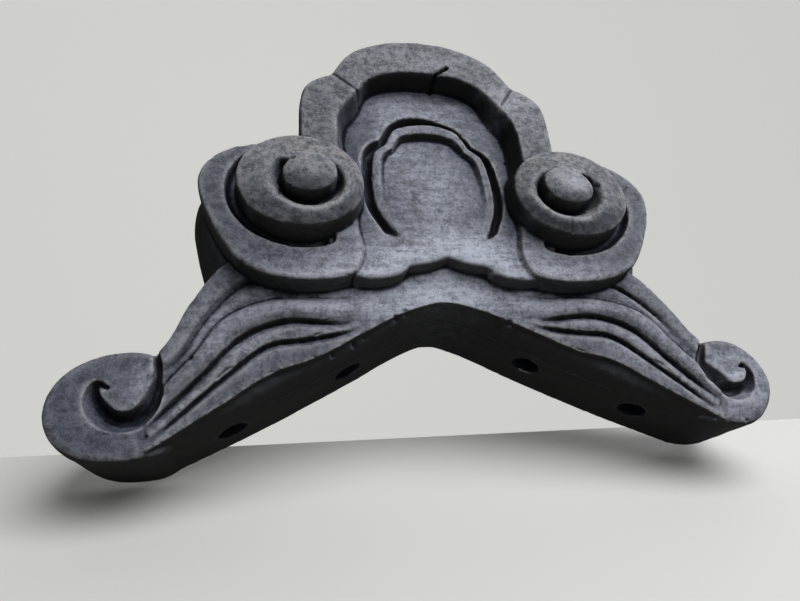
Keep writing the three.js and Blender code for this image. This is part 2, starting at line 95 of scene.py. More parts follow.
def curve(drawn, closed=False):
    """A smooth line through drawn points: between two of them it is the cubic whose slopes at both come
    from the neighbours, spaced by the square root of their distances."""
    p = np.asarray(drawn, float)
    if closed:
        p = np.vstack([p[-1], p, p[0], p[1]])
    else:
        p = np.vstack([2 * p[0] - p[1], p, 2 * p[-1] - p[-2]])
    a, b, c, d = p[:-3], p[1:-2], p[2:-1], p[3:]
    ab, bc, cd = (np.maximum(np.linalg.norm(v - u, axis=1, keepdims=True), 1e-9) ** 0.5
                  for u, v in ((a, b), (b, c), (c, d)))
    slope_b = ((b - a) / ab - (c - a) / (ab + bc) + (c - b) / bc) * bc
    slope_c = ((c - b) / bc - (d - b) / (bc + cd) + (d - c) / cd) * bc
    t = (np.arange(CURVE_STEPS) / CURVE_STEPS)[None, :, None]
    b, c, slope_b, slope_c = (v[:, None, :] for v in (b, c, slope_b, slope_c))
    square = -3 * b + 3 * c - 2 * slope_b - slope_c
    cube = 2 * b - 2 * c + slope_b + slope_c
    points = (b + slope_b * t + square * t ** 2 + cube * t ** 3).reshape(-1, p.shape[1])
    return np.vstack([points, p[1] if closed else p[-2]])


def at_shares(line, shares):
    """Points of a line at shares of its length."""
    reach = np.concatenate([[0.0], np.cumsum(np.linalg.norm(np.diff(line, axis=0), axis=1))])
    wanted = np.asarray(shares) * reach[-1]
    return np.stack([np.interp(wanted, reach, line[:, k]) for k in range(line.shape[1])], -1)


def directions(line, shares):
    """Unit directions of a line at shares of its length."""
    shares = np.asarray(shares, float)
    step = at_shares(line, np.clip(shares + 1e-3, 0, 1)) - at_shares(line, np.clip(shares - 1e-3, 0, 1))
    return step / np.linalg.norm(step, axis=-1, keepdims=True)


def both_sides(drawn):
    """A line drawn for the right half, carried on over the middle to the left half."""
    drawn = np.asarray(drawn, float)
    return curve(np.vstack([drawn[:0:-1] * (-1, 1), drawn]))


def inset(outline, distance):
    """A closed outline moved inward by a distance, each point square to the line of its neighbours."""
    ahead, behind = np.roll(outline, -1, 0), np.roll(outline, 1, 0)
    area = np.sum(outline[:, 0] * ahead[:, 1] - ahead[:, 0] * outline[:, 1])
    along = ahead - behind
    along /= np.linalg.norm(along, axis=1, keepdims=True)
    return outline + np.sign(area) * distance * np.stack([-along[:, 1], along[:, 0]], -1)


def lay(outline, depth):
    """An outline of x and height, laid at a depth: a number, one for each point, or a function of the
    height."""
    depths = depth(outline[:, 1]) if callable(depth) else np.broadcast_to(depth, len(outline))
    return np.column_stack([outline, depths])


def rounded(cornered, steps=4):
    """Rows of points with the corners between them rounded. Each row comes with its corner's radius: over
    0 the row becomes an arc, a quadratic from a radius before the corner to a radius after it, and never
    quite as far as halfway to the next row."""
    rows, radii = zip(*cornered)
    rows = np.asarray(rows, float)
    farthest = 0.49
    made = [rows[:1]]
    for i in range(1, len(rows) - 1):
        before, corner, after = rows[i - 1], rows[i], rows[i + 1]
        radius = radii[i]
        if radius == 0:
            made.append(corner[None])
            continue
        lengths = [np.linalg.norm(q - corner, axis=-1, keepdims=True) for q in (before, after)]
        reach = [np.minimum(radius / np.maximum(length, 1e-6), farthest) for length in lengths]
        start, end = corner + (before - corner) * reach[0], corner + (after - corner) * reach[1]
        t = np.linspace(0, 1, steps + 1)[:, None, None]
        made.append((1 - t) ** 2 * start + 2 * t * (1 - t) * corner + t ** 2 * end)
    made.append(rows[-1:])
    return np.concatenate(made)


def hand_cut(points):
    """The unevenness of hand work: above the arch the tile leans up to the left and shifts a little to
    the left, and the left foot reaches lower and further out than the right one."""
    x, z, depth = np.moveaxis(np.asarray(points, float), -1, 0)
    lean = mix(FOOT_LEAN, -UPPER_LEAN, smooth(*LEAN_HEIGHTS, z))
    outward = smooth(*OUTER_FOOT, np.abs(x))
    shift = CREST_SHIFT * smooth(*CREST_SHIFT_HEIGHTS, z)
    return np.stack([x - LONGER_LEFT * outward - shift, z + lean * x, depth], -1)


# Meshes

def new_object(name, vertices, faces):
    """An object in the scene with a mesh of the given vertices and faces."""
    mesh = bpy.data.meshes.new(name)
    mesh.from_pydata(vertices.tolist(), [], faces)
    mesh.update()
    made = bpy.data.objects.new(name, mesh)
    bpy.context.scene.collection.objects.link(made)
    return made


def shell(name, rings, caps="fan"):
    """A closed skin over rings of points: quads between neighbouring rings, and over the first and the
    last ring a fan to their middle or one flat face. It is turned right side out by its volume."""
    rings = np.asarray(rings, float)
    count, size = rings.shape[:2]
    points = rings.reshape(-1, 3)
    ring, place = np.meshgrid(np.arange(count - 1), np.arange(size), indexing="ij")
    here, beside = ring * size + place, ring * size + (place + 1) % size
    faces = np.stack([here, beside, beside + size, here + size], -1).reshape(-1, 4).tolist()
    last = (count - 1) * size
    if caps == "fan":
        points = np.vstack([points, rings[0].mean(0), rings[-1].mean(0)])
        around = np.arange(size)
        after = (around + 1) % size
        faces += np.stack([np.full(size, len(points) - 2), after, around], -1).tolist()
        faces += np.stack([np.full(size, len(points) - 1), last + around, last + after], -1).tolist()
    else:
        faces += [list(range(size - 1, -1, -1)), [last + i for i in range(size)]]
    cut = hand_cut(points)
    made = new_object(name, np.stack([cut[:, 0], -cut[:, 2], cut[:, 1] - ORIGIN_HEIGHT], -1) * MM, faces)
    make_outward(made.data)
    return made


def make_outward(mesh):
    """Turns a closed mesh over if its volume, summed over its faces as cones from the origin, is less
    than nothing."""
    mesh.calc_loop_triangles()
    points = vertex_array(mesh)
    corners = np.empty(len(mesh.loop_triangles) * 3, int)
    mesh.loop_triangles.foreach_get("vertices", corners)
    a, b, c = (points[corners[k::3]] for k in range(3))
    if np.sum(a * np.cross(b, c)) < 0:
        mesh.flip_normals()


def vertex_array(mesh):
    """The places of a mesh's vertices, one row each."""
    points = np.empty(len(mesh.vertices) * 3)
    mesh.vertices.foreach_get("co", points)
    return points.reshape(-1, 3)


def pair(name, rings):
    """The same skin on the left and on the right."""
    return [shell(f"{name}_left", rings * (-1, 1, 1)), shell(f"{name}_right", rings)]


def applied(made, name):
    """A new object with the modifiers of another worked into its mesh; the other is removed."""
    bpy.context.view_layer.update()
    graph = bpy.context.evaluated_depsgraph_get()
    mesh = bpy.data.meshes.new_from_object(made.evaluated_get(graph))
    result = bpy.data.objects.new(name, mesh)
    bpy.context.scene.collection.objects.link(result)
    removed(made)
    return result


def removed(*objects):
    """Takes objects and their meshes out of the file."""
    for o in objects:
        mesh = o.data
        bpy.data.objects.remove(o)
        bpy.data.meshes.remove(mesh)


# Legs and feet

# Lines and outlines are drawn for the right half, as x and height over the feet.
SOFFIT = both_sides([[0, 81], [24, 73], [54, 57], [112, 28], [168, 3]])
STRANDS = [both_sides(drawn) for drawn in (
    [[0, 86], [22, 81], [46, 70], [80, 52.5], [104, 44.5], [130, 28], [168, 4]],
    [[0, 90], [30, 82], [56, 70], [85, 64.5], [106, 61.5], [130, 43.5], [165, 11]],
    [[0, 94], [30, 85], [57, 74.5], [98, 75.5], [122, 66], [143, 44], [168, 17]],
    [[0, 100], [60, 90], [105, 89.5], [133, 78], [150, 55], [173, 28]],
    [[0, 106], [62, 103], [116, 100], [140, 79], [156, 53], [177, 36]],
    [[0, 111], [70, 113], [128, 113], [150, 88], [164, 62], [183, 46]],
)]
STRAND_CROWNS = (0.6, 0.9, 2.6, 0.5, 1.8)
STRAND_DROPS = (0.0, 0.0, 0.0, 2.2, 0.9, 0.9)
LATE_DROP_STRAND = 2
LATE_DROP = (0.8, 1)
STRAND_SPREAD = (0.15, 0.5)
ARCH_RISE = 2.2
ARCH_RISE_STRANDS = (2.5, 4.8)
LEG_STATIONS = 460
ROWS_PER_STRAND = 26

# The grooves between the strands, by their border: where each starts and ends along its leg, how deep it
# is, and how wide its wall and its slope are, on the left leg and then on the right one.
LEG_GROOVES = {
    1: ((0.29, 1.02, 5.0, 1.1, 4.6), (0.29, 1.02, 5.0, 1.1, 4.6)),
    2: ((0.29, 1.02, 4.4, 1.1, 5.6), (0.29, 1.02, 4.4, 1.1, 5.6)),
    3: ((0.36, 0.88, 0.5, 1.0, 3.0), (0.36, 0.88, 0.4, 1.0, 3.0)),
    4: ((0.34, 0.95, 2.4, 4.2, 6.0), (0.34, 0.84, 4.2, 1.2, 3.0)),
}
GROOVE_OPENING = 0.14
GROOVE_CLOSING = 0.16


def groove(along, start, end, depth):
    """How deep a groove is along its leg, 0 in the middle of the arch and 1 at the foot: it opens at
    its start and closes at its end."""
    return depth * smooth(start, start + GROOVE_OPENING, along) * smooth(end, end - GROOVE_CLOSING, along)


def legs():
    """Both legs as one loft from foot to foot. Across a leg the face runs over five strands. Its depth is
    the leg's depth less the strand's drop, plus its crown times 1 less a power of the distance from the
    strand's middle, less the groove at each border: a wall at the foot of the strand above and a slope on
    the strand below. Over the arch the strands fade and the face comes forward towards the collar."""
    share = np.linspace(0, 1, LEG_STATIONS)
    along = np.abs(share - 0.5) * 2
    left = share < 0.5
    spread = smooth(*STRAND_SPREAD, along)
    borders = np.stack([at_shares(line, share) for line in STRANDS])
    bottom = at_shares(SOFFIT, share)
    gaps = np.linalg.norm(np.diff(borders, axis=0), axis=-1)
    grooves = {}
    for border, sides in LEG_GROOVES.items():
        start, end, depth, wall, slope = (np.where(left, *values) for values in zip(*sides))
        grooves[border] = groove(along, start, end, depth), wall, slope
    face = []
    for strand, crown in enumerate(STRAND_CROWNS):
        for f in (np.arange(ROWS_PER_STRAND) + 0.5) / ROWS_PER_STRAND:
            late = smooth(*LATE_DROP, f) if strand == LATE_DROP_STRAND else f
            drop = mix(STRAND_DROPS[strand], STRAND_DROPS[strand + 1], late)
            level = LEG_DEPTH + spread * (crown * (1 - abs(2 * f - 1) ** 2.2) - drop)
            level = level + ARCH_RISE * (1 - spread) * smooth(*ARCH_RISE_STRANDS, strand + f)
            if strand in grooves:
                depth, wall, _ = grooves[strand]
                level = level - depth * (1 - smooth(0, wall, f * gaps[strand]))
            if strand + 1 in grooves:
                depth, _, slope = grooves[strand + 1]
                level = level - depth * np.clip(1 - (1 - f) * gaps[strand] / slope, 0, 1) ** 1.5
            face.append(lay(mix(borders[strand], borders[strand + 1], f), level))
    rows = [
        (lay(bottom, 0), 0),
        (lay(bottom, LEG_DEPTH * 0.6), 8),
        (lay(mix(bottom, borders[0], 0.4), LEG_DEPTH * 0.86), 6),
        (lay(borders[0], LEG_DEPTH - EDGE_ROUND / 2), 2),
        *((row, 0) for row in face),
        (lay(borders[-1], face[-1][:, 2] - EDGE_ROUND * 0.8), 2.5),
        (lay(borders[-1], 0), 0),
    ]
    return shell("legs", np.moveaxis(rounded(rows), 0, 1))


ROLL_CENTRE = np.array([181.0, 28.5])
ROLL_EDGE_ROUND = 3.0
LEFT_ROLL_GROWTH = 1.09
LEFT_ROLL_RISE = 1.5
ROLL_FLAT = 1.5
ROLL_SINK = 6.0
ROLL_SINK_START = (0.3, 0.75)
ROLL_GROOVE_WIDTH = 9.0
ROLL_GROOVE_DEPTH = 9.5
ROLL_GROOVE_TAIL = 0.42
CUTTER_ABOVE = 6.0
LEFT_TURNS_OVER = 1.5
RIGHT_TURNS_OVER = 0.5
LEFT_ROLL_GROOVE = curve([[187, 39], [193, 42], [194, 36], [190, 27], [184, 22], [175, 22], [168, 29],
                          [165, 39], [164.5, 48], [166, 56], [169, 65]])
RIGHT_ROLL_GROOVE = curve([[189, 37], [196, 37.5], [198, 32], [194, 25], [186, 21.5], [178, 22.5],
                           [171, 27.5], [165, 34.5], [163, 41.5], [165, 49], [169, 56], [174, 64]])


def roll(name, side, growth, rise):
    """A rolled foot: rings round its centre, each an ellipse, levelled off softly under the foot: each
    height becomes half the sum of itself and the long side of the right triangle on it and ROLL_FLAT.
    Its face sinks towards the leg."""
    angle = np.linspace(0, 2 * np.pi, 200, endpoint=False)
    around = np.stack([np.cos(angle), np.sin(angle)], -1)
    centre = ROLL_CENTRE + (0, rise)
    half = np.array([SPAN / 2 - ROLL_CENTRE[0], ROLL_CENTRE[1] * growth])
    edge = ROLL_EDGE_ROUND
    # Of each ring: how much larger than the outline it is, its depth and its corner's radius.
    profile = [(-edge, 0, 0), (0, edge, 1.5), (0, LEG_DEPTH - 1.4 * edge, 1.5),
               (-0.3 * edge, LEG_DEPTH - 0.5 * edge, 1), (-edge, LEG_DEPTH, 1.5),
               (-half[0] / 2, LEG_DEPTH + 1, 6), (-half[0] * 0.8, LEG_DEPTH + 1.5, 0)]
    rows = []
    for change, depth, radius in profile:
        ring = centre + (half + change) * around
        toward_leg = smooth(*ROLL_SINK_START, (centre[0] - ring[:, 0]) / half[0])
        ring[:, 1] = (ring[:, 1] + np.hypot(ring[:, 1], ROLL_FLAT)) / 2
        sink = ROLL_SINK * toward_leg * (depth > LEG_DEPTH / 2)
        rows.append((lay(ring * (side, 1), depth - sink), radius))
    return shell(name, rounded(rows))


def rolls():
    """The two rolled feet, the left one a little taller."""
    return [roll("roll_left", -1, LEFT_ROLL_GROWTH, LEFT_ROLL_RISE), roll("roll_right", 1, 1, 0)]


def roll_cutter(name, side, line, turns_over):
    """The groove of a rolled foot, a wedge carried along its curl, narrow where it starts and towards its
    tail. It is steep beside the eye and sloped on the outer side; from the share where it turns over, it
    is steep on the outer side and sloped towards the eye."""
    t = np.linspace(0, 1, 130)
    point, along = at_shares(line, t), directions(line, t)
    strength = smooth(-0.1, 0.3, t) * mix(1, ROLL_GROOVE_TAIL, smooth(0.5, 0.9, t))
    half, deep = ROLL_GROOVE_WIDTH / 2 * strength, ROLL_GROOVE_DEPTH * strength
    across = np.stack([-along[:, 1], along[:, 0]], -1)
    over = smooth(turns_over - 0.1, turns_over + 0.1, t)
    # Of each row of the wedge: how many half widths it lies beside the line, before and after the groove
    # has turned over, its depth and its corner's radius.
    wedge = [(-1.3, -2.2, LEG_DEPTH + CUTTER_ABOVE, 0), (-0.9, -1.3, LEG_DEPTH - deep * 0.5, 3),
             (-0.5, -0.4, LEG_DEPTH - deep, 1), (0.2, 0.3, LEG_DEPTH - deep * 0.9, 1),
             (1.2, 0.7, LEG_DEPTH - 0.4 * strength, 2), (1.7, 1.0, LEG_DEPTH + CUTTER_ABOVE, 0)]
    rows = [(lay(point + across * (half * mix(before, after, over))[:, None], depth), radius)
            for before, after, depth, radius in wedge]
    return shell(name, np.moveaxis(rounded(rows, 5), 0, 1) * (side, 1, 1))


def roll_cutters():
    """The grooves of both rolled feet; the left one never turns over."""
    return [roll_cutter("roll_groove_left", -1, LEFT_ROLL_GROOVE, LEFT_TURNS_OVER),
            roll_cutter("roll_groove_right", 1, RIGHT_ROLL_GROOVE, RIGHT_TURNS_OVER)]


# Body, plates and whorls

BODY_BACK = curve([[20, 99], [70, 92], [122, 74], [142, 92], [148, 112], [153, 132], [155.5, 150],
                   [153, 167], [141, 179], [112, 186], [60, 186], [20, 186]], True)
BODY_FRONT = curve([[20, 99], [70, 92], [112, 84], [128, 98], [136, 116], [143, 134], [147.5, 153],
                    [144.5, 168], [133, 179], [112, 184], [60, 184], [20, 184]], True)
PLATE = curve([[50, 112], [57, 98], [75, 93.5], [95, 94], [111, 98], [124, 106], [133, 118], [141, 133],
               [147, 150], [148, 163], [143, 174], [133, 183], [117, 189.5], [92, 185], [64, 177],
               [52, 152], [52, 131]], True)
WHORL_CENTRE = np.array([86.5, 154.0])
WHORL_HALF = np.array([39.5, 34.5])
BUTTON_CENTRE = np.array([82.5, 152.0])
BUTTON_RADIUS = 14.0
BUTTON_OVAL = (1.08, 0.93)
WHORL_GROOVE_START = math.radians(50)
WHORL_GROOVE_END = math.radians(119)
WHORL_GROOVE_REACH = 1.28
WHORL_GROOVE_SWELL = 0.2
WHORL_GROOVE_INSIDE = 1.02
WHORL_GROOVE_NARROWING = 0.3
WHORL_RIDGE = 0.22
LEDGE_OPENS = (232, 246)
LEDGE_CLOSES = (60, 35)
BODY_DROP = 4


def ring_shares(count):
    """Even shares of a closed line, without its last point."""
    return np.linspace(0, 1, count, endpoint=False)


def body():
    """The block under the plates: straight sides at the back, leaning in towards its front outline."""
    back, front = (at_shares(line, ring_shares(200)) for line in (BODY_BACK, BODY_FRONT))
    level = LEG_DEPTH - BODY_DROP
    rows = [(lay(back, 0), 0), (lay(back, LEG_DEPTH * 0.6), 10), (lay(front, level - 3), 3),
            (lay(inset(front, 6), level + 1), 0)]
    return pair("body", rounded(rows))


def on_whorl(angle, scale):
    """Points of the whorl's egg-shaped outline, grown or shrunk by a scale."""
    scale = np.broadcast_to(scale, angle.shape)
    return WHORL_CENTRE + WHORL_HALF * scale[:, None] * np.stack([np.cos(angle), np.sin(angle)], -1)


def whorls():
    """A whorl, in rows from its foot up its wall, over a crisp edge and up a broad cone to its ridge, down
    into the groove and up the button. The groove winds: how far it has turned since its start says how
    open it is, its reach from the button grows and shrinks by half a sine wave, and its inner side
    leaves the button towards its tail."""
    angle = np.linspace(0, 2 * np.pi, 300, endpoint=False)
    turned = (WHORL_GROOVE_START - angle) % (2 * np.pi)
    share = turned / (2 * np.pi - (WHORL_GROOVE_END - WHORL_GROOVE_START))
    open_ = np.where(share <= 1, smooth(0, 0.05, share) * smooth(1, 0.74, share), 0)
    reach = WHORL_GROOVE_REACH + WHORL_GROOVE_SWELL * np.sin(np.pi * np.minimum(1, share))
    tail = smooth(0.6, 1, share) * smooth(1.25, 1.0, share)
    inner = np.minimum(WHORL_GROOVE_INSIDE + WHORL_GROOVE_NARROWING * tail, reach - 0.1)
    floor = mix(PLATE_DEPTH, WHORL_DEPTH, 0.5)

    def about(radius):
        radius = np.broadcast_to(radius, angle.shape)[:, None]
        oval = np.stack([BUTTON_OVAL[0] * np.cos(angle), BUTTON_OVAL[1] * np.sin(angle)], -1)
        return BUTTON_CENTRE + BUTTON_RADIUS * radius * oval

    rows = [
        (lay(on_whorl(angle, 0.95), LEG_DEPTH - 6), 0),
        (lay(on_whorl(angle, 0.99), PLATE_DEPTH - 4), 1.5),
        (lay(on_whorl(angle, 0.965), WHORL_DEPTH - 6), 1.3),
        (lay(about(reach + WHORL_RIDGE), WHORL_DEPTH), 3.5),
        (lay(about(reach), mix(WHORL_DEPTH + 1, WHORL_DEPTH - 2.5, open_)), 1.2),
        (lay(about(mix(inner, reach, 0.3)), mix(WHORL_DEPTH + 2.2, floor, open_)), 1),
        (lay(about(inner), mix(WHORL_DEPTH + 3, floor, open_)), 0.8),
        (lay(about(inner - 0.03), mix(WHORL_DEPTH + 3.5, BUTTON_DEPTH - 4.8, open_)), 1.1),
        (lay(about(0.6), BUTTON_DEPTH - 1.4), 4),
        (lay(about(0.02), BUTTON_DEPTH), 0),
    ]
    return pair("whorl", rounded(rows, 6))


def plates():
    """The crescent plate under a whorl: a rounded edge, a flat face, and a ledge let into it round the
    whorl's foot on its lower and outer sides. Where the ledge is closed, its rows hide in the whorl."""
    outline = at_shares(PLATE, ring_shares(260))
    away = outline - WHORL_CENTRE
    angle = np.arctan2(away[:, 1], away[:, 0])
    degrees = np.degrees(angle) % 360
    open_ = smooth(*LEDGE_OPENS, degrees) + smooth(*LEDGE_CLOSES, degrees)

    def ledge(hidden, shown, drop):
        return lay(on_whorl(angle, mix(hidden, shown, open_)), PLATE_DEPTH - drop * smooth(0, 0.6, open_))

    rows = [
        (lay(outline, LEG_DEPTH - 10), 0),
        (lay(outline, PLATE_DEPTH - PLATE_EDGE_ROUND), 0.9),
        (lay(inset(outline, PLATE_EDGE_ROUND), PLATE_DEPTH - 0.2), 0.9),
        (lay(inset(outline, 6), PLATE_DEPTH), 3),
        (ledge(0.8, 1.16, 0), 0.9),
        (ledge(0.78, 1.135, LEDGE_DROP + 1.6), 0.8),
        (ledge(0.76, 1.06, LEDGE_DROP + 1.2), 0.8),
        (ledge(0.7, 1.0, LEDGE_DROP), 0),
    ]
    return pair("plate", rounded(rows))


# Crest

CREST = {
    "outer": [[[0, 111], [12, 106.5], [25, 104.5]], [[25, 104.5], [31, 99], [44, 95.5], [58, 96]],
              [[58, 96], [78, 130], [86, 200], [83.5, 233], [76.5, 242], [64.5, 248.5]],
              [[64.5, 248.5], [49, 271], [22, 283.5], [0, 286]]],
    "rim": [[[0, 116], [12, 111], [25, 109]], [[25, 109], [33, 103], [44, 100], [55, 100]],
            [[55, 100], [60, 150], [62, 195], [60, 215], [50, 231]],
            [[50, 231], [38, 246], [18, 254], [0, 255]]],
    "groove": [[[0, 119], [12, 118.5], [22, 120]], [[22, 120], [29, 123.5], [36, 130]],
               [[36, 130], [44.5, 148], [45.5, 175], [42, 193], [31.6, 201.6]],
               [[31.6, 201.6], [25, 213], [12, 221.5], [0, 223.5]]],
    "ring_outer": [[[0, 120.5], [11, 120.5], [20, 122]], [[20, 122], [26, 125.5], [32, 133]],
                   [[32, 133], [39, 150], [39.5, 176], [36.5, 191], [28.6, 198.4]],
                   [[28.6, 198.4], [22, 211], [11, 216], [0, 217.5]]],
    "ring_inner": [[[0, 122], [10, 122.3], [18, 124.5]], [[18, 124.5], [24, 128.5], [28.5, 136]],
                   [[28.5, 136], [34.5, 150], [34.5, 176], [32, 189], [25, 194.8]],
                   [[25, 194.8], [20, 204.5], [10, 208.5], [0, 209.5]]],
    "disc": [[[0, 123.5], [9, 124.5], [17, 127.5]], [[17, 127.5], [22, 131], [26, 138]],
             [[26, 138], [30, 152], [30.5, 174], [28, 187], [22.5, 196]],
             [[22.5, 196], [16.5, 201.5], [8, 204.5], [0, 205]]],
}
STRETCH_STEPS = (16, 24, 70, 50)
COLLAR_SHIFT = 2.7
NICHE_DRAFT = 6.0
NICHE_TOP_DRAFT = 0.8
RING_GROOVE_DEPTH = 7.5
RING_DROP = 1.5
WIDER_RING_GROOVE = 0.09
WIDER_TO_THE_LEFT = (15, -20)
DISC_MIDDLE = np.array([0, 164])

# The heights between which parts of the crest pass from what the collar has below to what they have above.
COLLAR_SHIFT_HEIGHTS = (150, 112)
CARVED_HEIGHTS = (122, 134)
NICHE_TOP_HEIGHTS = (228, 248)
RIM_HEIGHTS = (135, 180)
FLOOR_HEIGHTS = (130, 215)
RING_HEIGHTS = (135, 220)
DISC_FOOT = 123
DISC_RISE = 82


def nested(stretches):
    """A whole outline from the four stretches of its right half, so that the corners of all outlines
    share their numbers."""
    half = np.vstack([at_shares(curve(drawn), np.linspace(0, 1, steps, endpoint=False))
                      for drawn, steps in zip(stretches, STRETCH_STEPS)])
    top = np.array([stretches[-1][-1]], float)
    return np.vstack([half, top, half[:0:-1] * (-1, 1)])


def crest():
    """The crest, in nested rows from its outline inward: over the rim, down the niche wall, over the
    floor and the groove to the ring, and down to the sloping disc. Each row's depth is a function of the
    height that passes from the collar's depth below to its own above, along an S curve or, on the disc,
    evenly."""
    rows = {name: nested(drawn) for name, drawn in CREST.items()}
    for outline in rows.values():
        outline[:, 0] += COLLAR_SHIFT * smooth(*COLLAR_SHIFT_HEIGHTS, outline[:, 1])

    def rim_top(z):
        return mix(COLLAR_DEPTH, RIM_DEPTH, smooth(*RIM_HEIGHTS, z))

    def base(z):
        return mix(COLLAR_DEPTH, NICHE_FLOOR_DEPTH, smooth(*FLOOR_HEIGHTS, z))

    def near_ring(z):
        return mix(COLLAR_DEPTH, mix(COLLAR_DEPTH, NICHE_FLOOR_DEPTH, 0.4), smooth(*RING_HEIGHTS, z))

    def disc(z):
        return mix(COLLAR_DEPTH - 0.6, DISC_TOP_DEPTH, np.clip((z - DISC_FOOT) / DISC_RISE, 0, 1))

    def cut(z):
        return smooth(*CARVED_HEIGHTS, z)

    wider = WIDER_RING_GROOVE * smooth(*WIDER_TO_THE_LEFT, rows["groove"][:, :1])
    rows["groove"] = mix(rows["groove"], rows["rim"], wider)
    inward = rows["groove"] - rows["rim"]
    inward /= np.linalg.norm(inward, axis=1, keepdims=True)
    opened = cut(rows["rim"][:, 1:])
    draft = mix(NICHE_DRAFT, NICHE_TOP_DRAFT, smooth(*NICHE_TOP_HEIGHTS, rows["rim"][:, 1:]))
    # The two rows of the groove's floor: how far over to the ring they lie, and their share of its depth.
    floor = [(mix(rows["groove"], rows["ring_outer"], share), part) for share, part in
             ((0.25, 0.85), (0.72, 1.0))]
    edge = CREST_EDGE_ROUND
    rings = [
        (lay(rows["outer"], 0), 0),
        (lay(rows["outer"], lambda z: rim_top(z) - edge), 1.1),
        (lay(inset(rows["outer"], edge), lambda z: rim_top(z) - 0.2), 1.1),
        (lay(inset(rows["outer"], 3 * edge), rim_top), 3),
        (lay(rows["rim"] - inward * opened, rim_top), 1),
        (lay(rows["rim"] + 0.4 * inward * opened, lambda z: rim_top(z) - 1.6 * cut(z)), 1),
        (lay(rows["rim"] + inward * draft * opened, base), 2),
        (lay(rows["groove"], near_ring), 1),
        *((lay(line, near_ring(line[:, 1]) - RING_GROOVE_DEPTH * part * cut(line[:, 1])), 0.8)
          for line, part in floor),
        (lay(rows["ring_outer"], lambda z: COLLAR_DEPTH - RING_DROP * cut(z)), 1),
        (lay(rows["ring_inner"], lambda z: COLLAR_DEPTH - (RING_DROP - 0.5) * cut(z)), 1),
        (lay(mix(rows["ring_inner"], rows["disc"], 0.5), disc), 0.9),
        (lay(rows["disc"], disc), 0),
        (lay(DISC_MIDDLE + (rows["disc"] - DISC_MIDDLE) * 0.03, disc(DISC_MIDDLE[1])), 0),
    ]
    return shell("crest", rounded(rings, 5))


# Hollow and tie holes

HOLLOW_SIDE = [[149, 115], [151, 138], [150, 160], [142, 177], [124, 185], [104, 186], [90, 190],
               [86, 204], [84.5, 230], [76.5, 242], [64.5, 248.5], [49, 271], [22, 283.5], [0, 286]]
LEG_HOLLOW_SHARE = 0.95
HOLLOW_CORNERS = 5.0
HOLLOW_EDGE = (7, 3)
TIE_HOLE_DIAMETER = 17.0
TIE_HOLE_DEPTH = 30.0
TIE_HOLE_SHARES = (0.325, 0.12)
TIE_HOLE_CUT = (-26.0, 46.0)
TIE_HOLE_WALL = (-1.5, 30)
TIE_HOLE_MARGIN = 0.8
CUTTER_BEHIND = 5


def softened(outline, width):
    """A closed outline of evenly spaced points, each moved to the mean of its neighbours weighted by a
    bell of a width."""
    step = np.linalg.norm(outline[1] - outline[0])
    reach = int(3 * width / step)
    away = np.arange(-reach, reach + 1)
    weights = np.exp(-(away * step / width) ** 2 / 2)
    return sum(w * np.roll(outline, k, 0) for w, k in zip(weights / weights.sum(), away))


def hollow():
    """The pocket behind: an outline one wall inside all outer faces, straight down from the back, with
    rounded corners and a rounded edge round its floor. The points before and after the drawn side only
    give its ends their direction."""
    share = np.linspace(0.5, LEG_HOLLOW_SHARE, 15)

    def inward(line, side):
        along = directions(line, share)
        return at_shares(line, share) + side * WALL * np.stack([-along[:, 1], along[:, 0]], -1)

    low, high = inward(SOFFIT, 1), inward(STRANDS[5], -1)[::-1]
    side = np.array(HOLLOW_SIDE)
    walled = inset(np.vstack([[0, 0], [side[0, 0], 0], side, side[-2] * (-1, 1)]), WALL)[2:-1]
    leg_top = high[(high[:, 0] > walled[0, 0]) & (high[:, 1] < walled[0, 1])]
    right = np.vstack([low, leg_top, walled])
    outline = np.vstack([right, right[1:-1][::-1] * (-1, 1), right[:1]])
    outline = softened(at_shares(outline, ring_shares(900)), HOLLOW_CORNERS)
    edge_height, edge_width = HOLLOW_EDGE
    rows = [(lay(outline, -CUTTER_BEHIND), 0), (lay(outline, HOLLOW_DEPTH - edge_height), 4),
            (lay(inset(outline, edge_width), HOLLOW_DEPTH), 0)]
    return [shell("hollow", rounded(rows), "flat")]


def tie_hole_axes():
    """Of each tie hole: its place on the underside, the way along that and the way square to it into the
    clay. Each share of the underside has its twin on the other leg."""
    for share in TIE_HOLE_SHARES:
        for twin in (share, 1 - share):
            along = directions(SOFFIT, [twin])[0]
            yield at_shares(SOFFIT, [twin])[0], along, np.array([-along[1], along[0]])


def in_tie_holes(points):
    """Which points of x, height and depth lie on the wall of a tie hole."""
    inside = np.zeros(len(points), bool)
    for place, along, across in tie_hole_axes():
        away = points[:, :2] - hand_cut([*place, 0])[:2]
        off_axis = np.hypot(away @ along, points[:, 2] - TIE_HOLE_DEPTH)
        inward = away @ across
        inside |= ((off_axis < TIE_HOLE_DIAMETER / 2 + TIE_HOLE_MARGIN)
                   & (inward > TIE_HOLE_WALL[0]) & (inward < TIE_HOLE_WALL[1]))
    return inside


def tie_holes():
    """Four round holes through the undersides of the legs, square to them."""
    holes = []
    angle = np.linspace(0, 2 * np.pi, 60, endpoint=False)
    radius = TIE_HOLE_DIAMETER / 2
    for place, along, across in tie_hole_axes():
        rows = []
        for reach in TIE_HOLE_CUT:
            plane = place + across * reach + radius * np.cos(angle)[:, None] * along
            rows.append(lay(plane, TIE_HOLE_DEPTH + radius * np.sin(angle)))
        holes.append(shell("tie_hole", np.array(rows), "flat"))
    return holes


# Surface

WAVE_COUNT = 24

# The waves of soft unevenness: their length, the seed of their directions and their height. The bites
# knocked out of sharp edges: the same of their waves and their depth, and between which heights of the
# waves they open.
UNEVENNESS = ((24, 3, 0.12), (7, 4, 0.06))
BITES = ((13, 5, 1.7, 0.9, 2.0), (4, 6, 0.45, 0.5, 1.6))

